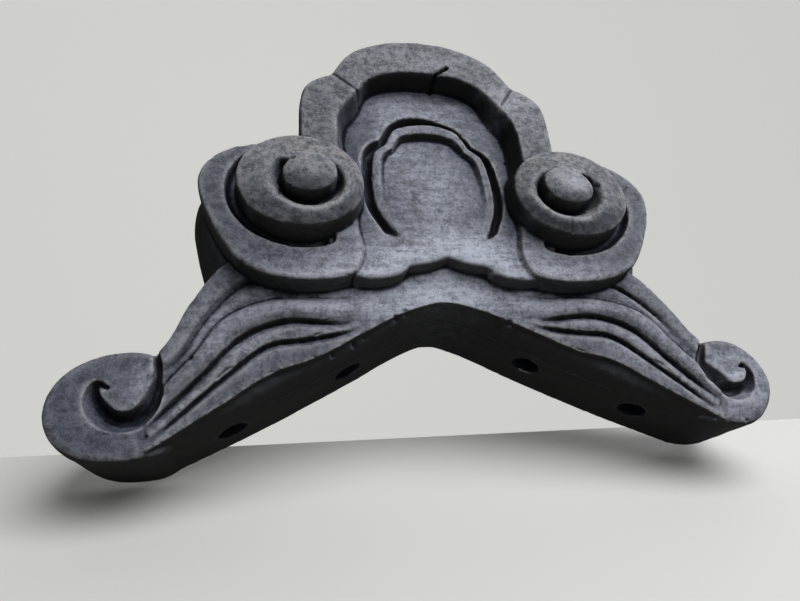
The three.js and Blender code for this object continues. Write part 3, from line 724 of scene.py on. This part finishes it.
# The rounds of relaxing that find how far a vertex stands out of its near and of its wide surroundings,
# and the millimetres at which it counts as a sharp edge, or as fully an edge, a recess or a cavity.
NEAR_ROUNDS = 8
WIDE_ROUNDS = 26
SHARP_EDGE = (0.1, 0.3)
FULL_EDGE = 0.3
FULL_RECESS = 0.35
FULL_CAVITY = 1.3

# Marks fade in between these depths, and as the surface looks forward. Up to the back's depth clay is only
# lost, and less of it. Painted shade fades in as the surface looks down, and a little less as it looks to
# the left.
FRONT_DEPTHS = (40, 50)
FRONT_FACING = (0.1, 0.4)
BACK_DEPTH = 1.5
BACK_WEAR = 0.3
SHADE_FACING = (0.35, 0.8)
LEFTWARD_SHARE = 0.85


def waves(points, length, seed):
    """Soft unevenness, mostly between -2 and 2: the sum of sine waves in random directions, whose lengths
    lie round a given length, over the root of their number."""
    rng = np.random.default_rng(seed)
    way = rng.normal(size=(WAVE_COUNT, 3))
    lengths = length * rng.uniform(0.6, 1.7, WAVE_COUNT)
    way *= (2 * np.pi / lengths / np.linalg.norm(way, axis=1))[:, None]
    starts = rng.uniform(0, 2 * np.pi, WAVE_COUNT)
    return np.sin(points @ way.T + starts).sum(1) / math.sqrt(WAVE_COUNT)


def neighbour_mean(edges, count, values):
    """The mean of the values of each vertex's neighbours along the edges."""
    total = np.zeros((count, values.shape[1]))
    for k in range(values.shape[1]):
        total[:, k] = (np.bincount(edges[:, 0], values[edges[:, 1], k], count)
                       + np.bincount(edges[:, 1], values[edges[:, 0], k], count))
    degree = np.bincount(edges.ravel(), minlength=count)[:, None]
    return total / np.maximum(degree, 1)


def edge_array(mesh):
    """The two vertices of each edge of a mesh, one row each."""
    edges = np.empty(len(mesh.edges) * 2, int)
    mesh.edges.foreach_get("vertices", edges)
    return edges.reshape(-1, 2)


def relaxed(mesh, rounds, amount):
    """Moves every vertex part of the way to its neighbours' mean, some rounds."""
    points, edges = vertex_array(mesh), edge_array(mesh)
    for _ in range(rounds):
        points += amount * (neighbour_mean(edges, len(points), points) - points)
    mesh.vertices.foreach_set("co", points.ravel())
    mesh.update()


def normal_array(mesh):
    """The normals of a mesh's vertices, one row each."""
    normals = np.empty(len(mesh.vertices) * 3)
    mesh.vertices.foreach_get("normal", normals)
    return normals.reshape(-1, 3)


def store(mesh, name, values):
    """Keeps a number for each vertex, for the material."""
    made = mesh.attributes.new(name, "FLOAT", "POINT")
    made.data.foreach_set("value", np.asarray(values, np.float32))


# Places of marks on the front, as x and height over the feet of the finished tile, in millimetres.
# A dent has a radius and a depth; a score, and the crack, has a line, a half width and a depth. The pale
# chips lie along a row from one place to the other.
DENTS = np.array([
    (16.8, 150.6, 1.3, 0.9), (22.6, 119.5, 1.2, 0.9), (53.9, 189.6, 1.9, 0.9), (-45, 105, 1.3, 0.7),
    (-79, 138, 2.6, 1.2), (-81.5, 139.5, 1.8, 0.9), (-149.2, 91.6, 2.6, 1.6), (-148.4, 53.7, 2.2, 1.0),
    (-25, 80.7, 2.6, 1.2), (-31, 77, 2.2, 1.2), (-57, 61.5, 2.4, 1.0), (-70, 55, 2.0, 1.0),
    (41, 73, 2.4, 1.0), (93, 160, 3.2, 0.9), (98, 157.5, 3.0, 1.3), (103, 154, 2.6, 1.1),
    (97, 163, 2.2, 0.7), (-92, 164, 2.6, 1.0), (-75, 252, 2.4, 0.7), (64, 262, 2.0, 0.6),
])
CRACK = (((17.5, 261.3), (15, 259), (13.6, 258.6), (11, 255.6), (9, 255), (7.1, 252.2)), 1.7, 3.6)
SCORES = (
    (((-16, 162), (-13, 156), (-9.5, 151.5)), 1.0, 0.7),
    (((-14, 158), (-15.5, 153)), 0.8, 0.5),
    (((-20, 266), (-10.5, 266.4), (-10.8, 256)), 0.8, 0.4),
    (((-99.3, 151.8), (-99.6, 142)), 0.8, 0.8),
    (((79.5, 128.5), (79.9, 120)), 0.8, 0.8),
    (((-64.1, 249.7), (-54.3, 240.4), (-45.1, 233.0)), 1.3, 0.9),
    (((63.2, 243.9), (53.3, 229.1)), 1.3, 1.1),
    (((129, 161.5), (133.5, 162.5), (136, 166)), 0.8, 0.7),
)
STREWN_DENTS = 150
PALE_CHIPS = 12
PALE_CHIP_ROW = np.array([(154.5, 11.8), (192.4, 1.5)])

# Where hands have burnished the clay, and where a silvery sheen is painted on as a highlight: x and height
# over the feet of the middle, half width, half height, in millimetres, and strength.
BURNISH_AND_SHEEN = np.array([
    (0, 98, 72, 20, 1.25), (4, 115, 36, 14, 0.6), (0, 160, 26, 40, 0.5), (-80, 90, 36, 12, 0.6),
    (-128, 66, 24, 18, 0.5), (88, 86, 40, 13, 0.5), (132, 55, 24, 18, 0.4), (184, 30, 26, 22, 0.75),
    (83, 151, 11, 11, 0.9), (60, 228, 26, 24, 0.5), (0, 268, 50, 12, 0.3), (-86, 128, 30, 8, 0.4),
    (-172, 40, 10, 12, 0.3), (-26, 205, 14, 30, 0.4), (0, 234, 42, 14, 0.4), (-112, 172, 18, 12, 0.35),
])


def front_dents(seed):
    """The named dents, small pits strewn over the whole front, and a row of chips along the lower edge of
    the right foot; the last value tells whether the dent shows pale clay."""
    rng = np.random.default_rng(seed)
    strewn = np.column_stack([rng.uniform(low, high, STREWN_DENTS) for low, high in
                              ((-205, 205), (5, 285), (0.6, 1.3), (0.25, 0.8))])
    t = rng.uniform(0, 1, PALE_CHIPS)[:, None]
    row = mix(*PALE_CHIP_ROW, t) + rng.normal(0, 1.6, (PALE_CHIPS, 2))
    chips = np.column_stack([row, rng.uniform(1.0, 2.4, PALE_CHIPS), rng.uniform(0.5, 1.1, PALE_CHIPS)])
    dents = np.vstack([DENTS, strewn, chips])
    return np.column_stack([dents, np.repeat([0, 1], [len(DENTS) + STREWN_DENTS, PALE_CHIPS])])


def dented(flat, dents):
    """How deep the dents are at points of x and height: in each, its depth times the square of 1 less the
    squared distance in radii; and where they show pale clay."""
    deep, pale = np.zeros(len(flat)), np.zeros(len(flat))
    for x, z, radius, depth, shows_pale in dents:
        near = np.flatnonzero((np.abs(flat[:, 0] - x) < radius) & (np.abs(flat[:, 1] - z) < radius))
        left = np.clip(1 - ((flat[near] - (x, z)) ** 2).sum(1) / radius ** 2, 0, 1)
        deep[near] = np.maximum(deep[near], depth * left ** 2)
        pale[near] = np.maximum(pale[near], shows_pale * left)
    return deep, pale


def scored(flat, line, half_width, depth):
    """How deep a scored line is at points of x and height: its depth times 1 less the distance to the
    nearest of its pieces in half widths."""
    away = np.full(len(flat), np.inf)
    for a, b in zip(np.array(line[:-1]), np.array(line[1:])):
        along = np.clip((flat - a) @ (b - a) / ((b - a) @ (b - a)), 0, 1)
        away = np.minimum(away, np.linalg.norm(flat - a - along[:, None] * (b - a), axis=1))
    return depth * np.clip(1 - away / half_width, 0, 1)


def relief(points, edges, rounds):
    """The way to each vertex from where some rounds of relaxing would take it, each a step half way to
    the neighbours' mean."""
    soft = points.copy()
    for _ in range(rounds):
        soft += 0.5 * (neighbour_mean(edges, len(points), soft) - soft)
    return points - soft


def worn(mesh):
    """Hand unevenness and wear: each vertex moves along its normal by soft waves, less the bites that
    were knocked out of sharp edges, and less the deepest of the front's dents, its scores and the crack.
    The flat back only loses clay. Also stores where edges, recesses, pale chips and dark cuts lie."""
    points, normals, edges = vertex_array(mesh) / MM, normal_array(mesh), edge_array(mesh)
    outward = np.sum(relief(points, edges, NEAR_ROUNDS) * normals, axis=1)
    bites = smooth(*SHARP_EDGE, outward) * sum(
        depth * smooth(low, high, waves(points, length, seed)) for length, seed, depth, low, high in BITES)
    deep_part = smooth(*FRONT_DEPTHS, -points[:, 1])
    front = deep_part * smooth(*FRONT_FACING, -normals[:, 1])
    flat = points[:, [0, 2]] + (0, ORIGIN_HEIGHT)
    deep, pale = dented(flat, front_dents(7))
    for score in SCORES:
        deep = np.maximum(deep, scored(flat, *score))
    crack = deep_part * scored(flat, *CRACK)
    uneven = sum(height * waves(points, length, seed) for length, seed, height in UNEVENNESS)
    move = uneven - bites - np.maximum(front * deep, crack)
    back = points[:, 1] > -BACK_DEPTH
    move[back] = np.minimum(move[back], 0) * BACK_WEAR
    points += normals * move[:, None]
    mesh.vertices.foreach_set("co", (points * MM).ravel())
    mesh.update()
    store(mesh, "edge", np.clip(outward / FULL_EDGE, 0, 1))
    # Recesses are darkened in the material as painted shade.
    store(mesh, "recess", np.clip(-outward / FULL_RECESS, 0, 1))
    store(mesh, "chip", np.clip(front * pale + 0.8 * bites, 0, 1))
    bored = in_tie_holes(np.column_stack([flat, -points[:, 1]]))
    # The crack, the dents, the scores and the walls of the tie holes are darkened in the material as
    # painted shade.
    store(mesh, "crack", np.clip(np.maximum(crack / 2, front * deep / 1.5) + bored, 0, 1))


def mark_relief(mesh):
    """Stores how far each vertex lies below, or stands out of, its wide surroundings, how much it looks
    down or to the left, which carries the painted shade, how much it looks up, and how much burnish and
    painted sheen it has: the sum of bells over their places, each falling off by the squared distance in
    half widths and half heights."""
    points, normals = vertex_array(mesh) / MM, normal_array(mesh)
    outward = np.sum(relief(points, edge_array(mesh), WIDE_ROUNDS) * normals, axis=1)
    # Cavities are darkened in the material as painted shade.
    store(mesh, "cavity", np.clip(-outward / FULL_CAVITY, 0, 1))
    store(mesh, "crown", np.clip(outward / FULL_CAVITY, 0, 1))
    # Painted shade falls on faces that look down, and a little less on those that look to the left.
    shaded = np.maximum(-normals[:, 2], -LEFTWARD_SHARE * normals[:, 0])
    store(mesh, "under", smooth(*SHADE_FACING, shaded))
    store(mesh, "slope", normals[:, 2])
    flat = points[:, None, [0, 2]] + (0, ORIGIN_HEIGHT) - BURNISH_AND_SHEEN[:, :2]
    bells = np.exp(-((flat / BURNISH_AND_SHEEN[:, 2:4]) ** 2).sum(-1))
    store(mesh, "burnish_and_sheen", np.clip((bells * BURNISH_AND_SHEEN[:, 4]).sum(1), 0, 1))


def build_tile(settings):
    """Joins the carved solids, cuts the rolls' grooves, the hollow and the tie holes, gives the whole one
    even skin of small faces, relaxes and wears it, and thins it to the number of triangles allowed."""
    solids = [legs(), crest(), *rolls(), *body(), *plates(), *whorls()]
    cutters = [*roll_cutters(), *hollow(), *tie_holes()]
    tile = solids[0]
    for operation, others in (("UNION", solids[1:]), ("DIFFERENCE", cutters)):
        for other in others:
            step = tile.modifiers.new(other.name, "BOOLEAN")
            step.operation, step.object, step.solver = operation, other, "MANIFOLD"
    joined = applied(tile, "joined")
    removed(*solids[1:], *cutters)
    remesh = joined.modifiers.new("even_skin", "REMESH")
    remesh.mode, remesh.voxel_size, remesh.adaptivity = "VOXEL", settings.face_size, 0.0
    skinned = applied(joined, "skinned")
    relaxed(skinned.data, rounds=2, amount=0.5)
    worn(skinned.data)
    thin = skinned.modifiers.new("fewer_faces", "DECIMATE")
    triangles = sum(len(face.vertices) - 2 for face in skinned.data.polygons)
    thin.ratio = min(1.0, settings.most_triangles / triangles)
    thin.use_collapse_triangulate = True
    made = applied(skinned, "fired_clay_tile")
    made.data.polygons.foreach_set("use_smooth", np.ones(len(made.data.polygons), bool))
    mark_relief(made.data)
    return made


# Material

class Socket:
    """A socket of a shader, on which sums are written as on a number."""

    def __init__(self, shader, socket):
        self.shader, self.socket = shader, socket

    def math(self, operation, a, b):
        return self.shader.node("ShaderNodeMath", {"operation": operation}, {0: a, 1: b})

    def __add__(self, other):
        return self.math("ADD", self, other)

    def __radd__(self, other):
        return self.math("ADD", other, self)

    def __sub__(self, other):
        return self.math("SUBTRACT", self, other)

    def __rsub__(self, other):
        return self.math("SUBTRACT", other, self)

    def __mul__(self, other):
        return self.math("MULTIPLY", self, other)

    def __rmul__(self, other):
        return self.math("MULTIPLY", other, self)

    def ramp(self, low, high):
        """Goes from 0 at low to 1 at high along an S curve, and stays there."""
        return self.shader.node("ShaderNodeMapRange", {"interpolation_type": "SMOOTHSTEP"},
                                {"Value": self, "From Min": low, "From Max": high})


class Shader:
    """The node tree of a material."""

    def __init__(self, name):
        self.material = bpy.data.materials.new(name)
        self.material.use_nodes = True
        self.tree = self.material.node_tree
        self.tree.nodes.clear()

    def node(self, kind, settings, inputs, output=0):
        """A new node of a type: its settings are set first, then the values or links of its sockets."""
        made = self.tree.nodes.new(kind)
        for name, value in settings.items():
            setattr(made, name, value)
        for name, value in inputs.items():
            if isinstance(value, Socket):
                self.tree.links.new(value.socket, made.inputs[name])
            else:
                made.inputs[name].default_value = value
        return Socket(self, made.outputs[output]) if len(made.outputs) else None

    def noise(self, place, scale, detail, roughness, distortion):
        return self.node("ShaderNodeTexNoise", {}, {"Vector": place, "Scale": scale, "Detail": detail,
                                                    "Roughness": roughness, "Distortion": distortion})

    def tinted(self, below, factor, colour):
        """A colour blended over what is below, by a factor held between 0 and 1."""
        inputs = {0: factor, 6: below, 7: (*colour, 1)}
        return self.node("ShaderNodeMix", {"data_type": "RGBA", "clamp_factor": True}, inputs, 2)

    def stretched(self, place, turn, scale):
        return self.node("ShaderNodeMapping", {}, {"Vector": place, "Rotation": turn, "Scale": scale})

    def attribute(self, name):
        return self.node("ShaderNodeAttribute", {"attribute_name": name}, {}, "Fac")


# The noises of the clay, from broad patches to fine grain, and the brush strokes, which are stretched
# along a slanting way: scale per metre, detail, roughness and distortion.
PATCHES = (17, 5, 0.62, 0.6)
MOTTLE = (75, 8, 0.74, 0.4)
BLOTS = (210, 8, 0.8, 0.3)
FINE = (620, 7, 0.8, 0.0)
GRAIN = (1500, 3, 0.7, 0.0)
STROKES = (260, 6, 0.7, 0.6)
STROKE_TURN = (0, math.radians(58), 0)
STROKE_STRETCH = (0.2, 1.0, 1.0)

# Dust fades in between these depths in front of the back. They and the bump's height are in metres.
DUST_DEPTHS = (0.077, 0.086)
BUMP_HEIGHT = 0.0011
BUMP_STRENGTH = 0.6
GLOSS = 0.6
MATT_GLOSS = 0.05


def clay_material(colours):
    """Smoked clay, colour over colour, each blended in by a product or a sum of masks: mottled slate, a
    silvery burnish with a painted sheen, brownish dust on the highest faces, dark smudges with painted
    shade on faces that look down, paler worn edges and chips, painted shade on faces that look down or to
    the left, painted shade in hollows, cuts and tie holes, and dark pits. Undersides and hollows are a
    matt clay, the rest a glossier one, and the noises raise the bump of both."""
    s = Shader("smoked_clay")
    place = s.node("ShaderNodeTexCoord", {}, {}, "Object")
    depth = s.node("ShaderNodeSeparateXYZ", {}, {"Vector": place}, "Y")
    cavity, crown, edge, recess, chip, crack, under, slope, burnish_and_sheen = (
        s.attribute(name) for name in
        ("cavity", "crown", "edge", "recess", "chip", "crack", "under", "slope", "burnish_and_sheen"))
    patches, mottle, blots, fine, grain = (
        s.noise(place, *look) for look in (PATCHES, MOTTLE, BLOTS, FINE, GRAIN))
    strokes = s.noise(s.stretched(place, STROKE_TURN, STROKE_STRETCH), *STROKES)
    speckle = blots.ramp(0.45, 0.57) * 0.5 + fine.ramp(0.45, 0.58) * 0.5

    colour = s.tinted((*colours.slate, 1), patches.ramp(0.36, 0.64), colours.grey)
    colour = s.tinted(colour, mottle.ramp(0.46, 0.58) * 0.6, colours.grey)

    # Silver over the burnish and its painted sheen, a little over the crowns, and in random speckles.
    burnish_and_sheen_amount = burnish_and_sheen * (0.3 + 0.55 * speckle + 0.2 * mottle.ramp(0.44, 0.58))
    burnish_and_sheen_amount = burnish_and_sheen_amount + burnish_and_sheen * strokes.ramp(0.44, 0.58) * 0.3 + crown * 0.12 + speckle * 0.17
    colour = s.tinted(colour, burnish_and_sheen_amount, colours.silver)

    high = (0 - depth).ramp(*DUST_DEPTHS)
    dusty = high * (0.55 + slope.ramp(-0.1, 0.5) * 0.45)
    colour = s.tinted(colour, dusty * (0.05 + 0.95 * speckle), colours.dust)

    smudges_and_shade = (1 - mottle).ramp(0.5, 0.62) * 0.35 + (1 - blots).ramp(0.5, 0.6) * 0.4
    smudges_and_shade = smudges_and_shade + (1 - fine).ramp(0.5, 0.6) * 0.3 + (1 - strokes).ramp(0.5, 0.6) * 0.25
    # Painted shade on faces that look down.
    smudges_and_shade = smudges_and_shade + (0 - slope).ramp(0.03, 0.33) * 0.75
    colour = s.tinted(colour, smudges_and_shade * (1 - 0.7 * burnish_and_sheen), colours.slate)

    colour = s.tinted(colour, edge * (0.2 + 0.55 * blots.ramp(0.42, 0.55)), colours.edge)
    colour = s.tinted(colour, chip * 0.7, colours.edge)
    # Painted shade on faces that look down or to the left.
    colour = s.tinted(colour, under * 0.93, colours.underside_shade)
    # Painted shade in cavities, recesses, the crack, dents and tie holes, and the dark pits of the clay's
    # own tone.
    for shade_and_pits in (cavity.ramp(0.3, 1.0) * 0.85, recess.ramp(0.15, 0.8) * 0.9, crack,
                  fine.ramp(0.56, 0.63) * (0.45 + 0.35 * high)):
        colour = s.tinted(colour, shade_and_pits, colours.hollow)

    roughness = 0.3 + 0.28 * mottle + 0.28 * fine + 0.12 * high + 0.2 * cavity - 0.08 * burnish_and_sheen
    height = 0.7 * fine + 0.3 * grain + 0.9 * blots + 0.8 * mottle + 0.3 * strokes
    bumped = s.node("ShaderNodeBump", {}, {"Strength": BUMP_STRENGTH, "Distance": BUMP_HEIGHT,
                                           "Height": height})
    clay, matt = (
        s.node("ShaderNodeBsdfPrincipled", {}, {"Base Color": colour, "Roughness": rough,
                                                "Normal": bumped, "Specular IOR Level": gloss})
        for rough, gloss in ((roughness, GLOSS), (1.0, MATT_GLOSS)))
    dull = under * 0.95 + cavity.ramp(0.2, 0.9) + recess.ramp(0.15, 0.8) + crack
    dull = s.node("ShaderNodeClamp", {}, {0: dull})
    surface = s.node("ShaderNodeMixShader", {}, {0: dull, 1: clay, 2: matt})
    s.node("ShaderNodeOutputMaterial", {}, {"Surface": surface})
    return s.material


def plain_material(name, glow):
    """The plain pale paint of floor and wall, which can give off some light of its own."""
    s = Shader(name)
    surface = s.node("ShaderNodeBsdfPrincipled", {}, {
        "Base Color": PALE, "Roughness": 0.7, "Emission Color": PALE, "Emission Strength": glow})
    s.node("ShaderNodeOutputMaterial", {}, {"Surface": surface})
    return s.material


# Settings

class TileSettings(bpy.types.PropertyGroup):
    face_size: FloatProperty(name="Face size", description="Size of the faces of the even skin",
                             default=0.0009, min=0.0007, max=0.004, unit="LENGTH")
    most_triangles: IntProperty(name="Most triangles", description="Triangles that the tile may have",
                                default=196000, min=20000, max=199000)


class ClaySettings(bpy.types.PropertyGroup):
    slate: FloatVectorProperty(name="Slate", description="Darker ground colour of the clay",
                               default=(0.02, 0.026, 0.042), subtype="COLOR", min=0, max=1)
    grey: FloatVectorProperty(name="Grey", description="Lighter ground colour of the clay",
                              default=(0.052, 0.063, 0.096), subtype="COLOR", min=0, max=1)
    # The silver is the colour of the burnish and of the painted sheen.
    silver: FloatVectorProperty(name="Silver", description="Colour of the burnished clay",
                                default=(0.47, 0.505, 0.61), subtype="COLOR", min=0, max=1)
    dust: FloatVectorProperty(name="Dust", description="Brownish dust on the high faces",
                              default=(0.36, 0.338, 0.33), subtype="COLOR", min=0, max=1)
    edge: FloatVectorProperty(name="Edge", description="Paler clay where edges are worn",
                              default=(0.4, 0.4, 0.43), subtype="COLOR", min=0, max=1)
    # The underside colour is painted shade on faces that look down or to the left.
    underside_shade: FloatVectorProperty(name="Soot", description="Soot on the undersides",
                              default=(0.014, 0.0135, 0.0125), subtype="COLOR", min=0, max=1)
    # The hollow colour is painted shade in grooves, corners and cuts, and the colour of the dark pits.
    hollow: FloatVectorProperty(name="Hollow", description="Dark smoke in the grooves and corners",
                                default=(0.008, 0.009, 0.012), subtype="COLOR", min=0, max=1)


class StageSettings(bpy.types.PropertyGroup):
    lean: FloatProperty(name="Lean", description="How far the tile leans back on the pale floor",
                        default=math.radians(37), unit="ROTATION")
    key_power: FloatProperty(name="Key light", description="Power of the main soft light",
                             default=22.0, min=0, unit="POWER")
    fill_power: FloatProperty(name="Fill light", description="Power of the soft light behind",
                              default=5.0, min=0, unit="POWER")
    world_strength: FloatProperty(name="Room light", description="Strength of the pale surroundings",
                                  default=0.08, min=0)
    wall_glow: FloatProperty(name="Wall light", description="How much light the pale wall gives off",
                             default=0.75, min=0)


# Operators

class OBJECT_OT_roof_end_tile(bpy.types.Operator):
    """Make the carved clay tile in place of its plain solid"""
    bl_idname = "object.roof_end_tile"
    bl_label = "Roof End Tile"

    def execute(self, context):
        made = build_tile(context.scene.tile_settings)
        made.data.materials.clear()
        made.data.materials.append(clay_material(context.scene.clay_settings))
        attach(made, "root")
        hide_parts("roof_end_tile")
        return {"FINISHED"}


# The stage is in metres, in the frame of the tile. Its room leans as far as the tile leans back in it.
CAMERA_PLACE = (-0.0942, -0.3895, -0.1574)
SENSOR_WIDTH = 36
PICTURE_PIXELS = 800
FOCAL_PIXELS = 601
CAMERA_TURN, CAMERA_RISE, CAMERA_ROLL = (math.radians(a) for a in (-11.5, 25.0, -5.3))
CAMERA_NEAREST = 0.01
FLOOR_BELOW = 0.0935
FLOOR_REACH = 4
FLOOR_BEHIND = 0.05
WALL_AWAY = 4
WALL_SIDE = 7
WALL_LOWEST, WALL_HIGHEST = -3, 6
PALE = (0.72, 0.72, 0.69, 1)
ROOM_COLOUR = (0.92, 0.95, 1.0, 1)
LIT_PLACE = Vector((0, -0.05, 0.04))

# Of each light: the way to it from the tile, its distance and its diameter.
KEY_LIGHT = ((0.36, -0.77, 0.52), 1.3, 1.5)
FILL_LIGHT = ((0.3, 0.8, 0.5), 1.5, 1.2)


def photo_camera():
    """The camera of the photograph: turned, raised and rolled from a level view along +Y. Its axes are
    the rows of the product of the three turns."""
    y, p, r = CAMERA_TURN, CAMERA_RISE, CAMERA_ROLL
    level = np.array([[1, 0, 0], [0, 0, -1], [0, 1, 0]], float)
    turn = np.array([[math.cos(y), -math.sin(y), 0], [math.sin(y), math.cos(y), 0], [0, 0, 1]])
    rise = np.array([[1, 0, 0], [0, math.cos(p), -math.sin(p)], [0, math.sin(p), math.cos(p)]])
    roll = np.array([[math.cos(r), -math.sin(r), 0], [math.sin(r), math.cos(r), 0], [0, 0, 1]])
    rows = roll @ level @ rise.T @ turn.T
    place = np.eye(4)
    place[:3, 0], place[:3, 1], place[:3, 2], place[:3, 3] = rows[0], -rows[1], -rows[2], CAMERA_PLACE
    data = bpy.data.cameras.new("photo_camera")
    data.lens = FOCAL_PIXELS / PICTURE_PIXELS * SENSOR_WIDTH
    data.sensor_width, data.clip_start = SENSOR_WIDTH, CAMERA_NEAREST
    camera = bpy.data.objects.new("photo_camera", data)
    bpy.context.scene.collection.objects.link(camera)
    camera.matrix_world = Matrix(place.tolist())
    bpy.context.scene.camera = camera


def area_light(name, power, way, distance, size):
    """A round soft light that looks at the tile."""
    data = bpy.data.lights.new(name, "AREA")
    data.shape, data.size, data.energy = "DISK", size, power
    light = bpy.data.objects.new(name, data)
    bpy.context.scene.collection.objects.link(light)
    light.location = LIT_PLACE + distance * Vector(way).normalized()
    light.rotation_euler = (LIT_PLACE - light.location).to_track_quat("-Z", "Y").to_euler()


def room_sheet(name, paint, start, ways, width, length):
    """A flat sheet of the room: its four corners lie as far along its two ways from its start as its
    width and its length say."""
    first, second = ways
    (left, right), (near, far) = width, length
    corners = [a * first + b * second for a, b in ((left, near), (right, near), (right, far), (left, far))]
    sheet = new_object(name, start + np.array(corners), [[0, 1, 2, 3]])
    sheet.data.materials.append(paint)
    return sheet


class OBJECT_OT_tile_stage(bpy.types.Operator):
    """Make the plain pale floor and backdrop, the soft lights and the camera"""
    bl_idname = "object.tile_stage"
    bl_label = "Stage"

    def execute(self, context):
        settings = context.scene.stage_settings
        across = np.array([1.0, 0, 0])
        away = np.array([0, math.cos(settings.lean), math.sin(settings.lean)])
        up = np.array([0, -math.sin(settings.lean), math.cos(settings.lean)])
        foot = np.array([0, 0, -FLOOR_BELOW])
        floor = room_sheet("floor", plain_material("pale_floor", 0.0), foot, (across, away),
                           (-FLOOR_REACH, FLOOR_REACH), (-FLOOR_REACH, FLOOR_BEHIND))
        backdrop = room_sheet("backdrop", plain_material("pale_wall", settings.wall_glow),
                              foot + WALL_AWAY * away, (across, up),
                              (-WALL_SIDE, WALL_SIDE), (WALL_LOWEST, WALL_HIGHEST))
        area_light("key", settings.key_power, *KEY_LIGHT)
        area_light("fill", settings.fill_power, *FILL_LIGHT)
        world = bpy.data.worlds.new("room")
        context.scene.world = world
        world.use_nodes = True
        background = world.node_tree.nodes["Background"]
        background.inputs[0].default_value = ROOM_COLOUR
        background.inputs[1].default_value = settings.world_strength
        context.scene.view_settings.view_transform = "Standard"
        photo_camera()
        return {"FINISHED"}


class VIEW3D_PT_roof_end_tile(bpy.types.Panel):
    bl_label = "Roof End Tile"
    bl_space_type = "VIEW_3D"
    bl_region_type = "UI"
    bl_category = "Roof End Tile"

    def draw(self, context):
        for settings in GROUPS:
            group = getattr(context.scene, settings)
            box = self.layout.box()
            for name in group.bl_rna.properties.keys():
                if name not in ("rna_type", "name"):
                    box.prop(group, name)
        self.layout.operator(OBJECT_OT_roof_end_tile.bl_idname)
        self.layout.operator(OBJECT_OT_tile_stage.bl_idname)


GROUPS = {"tile_settings": TileSettings, "clay_settings": ClaySettings, "stage_settings": StageSettings}
CLASSES = (*GROUPS.values(), OBJECT_OT_roof_end_tile, OBJECT_OT_tile_stage, VIEW3D_PT_roof_end_tile)


def register():
    for made in CLASSES:
        bpy.utils.register_class(made)
    for name, group in GROUPS.items():
        setattr(bpy.types.Scene, name, PointerProperty(type=group))


def unregister():
    for name in GROUPS:
        delattr(bpy.types.Scene, name)
    for made in reversed(CLASSES):
        bpy.utils.unregister_class(made)


def main():
    register()
    for operator in (bpy.ops.object.roof_end_tile, bpy.ops.object.tile_stage):
        if operator() != {"FINISHED"}:
            raise RuntimeError("a piece wasn't made")


if __name__ == "__main__":
    main()
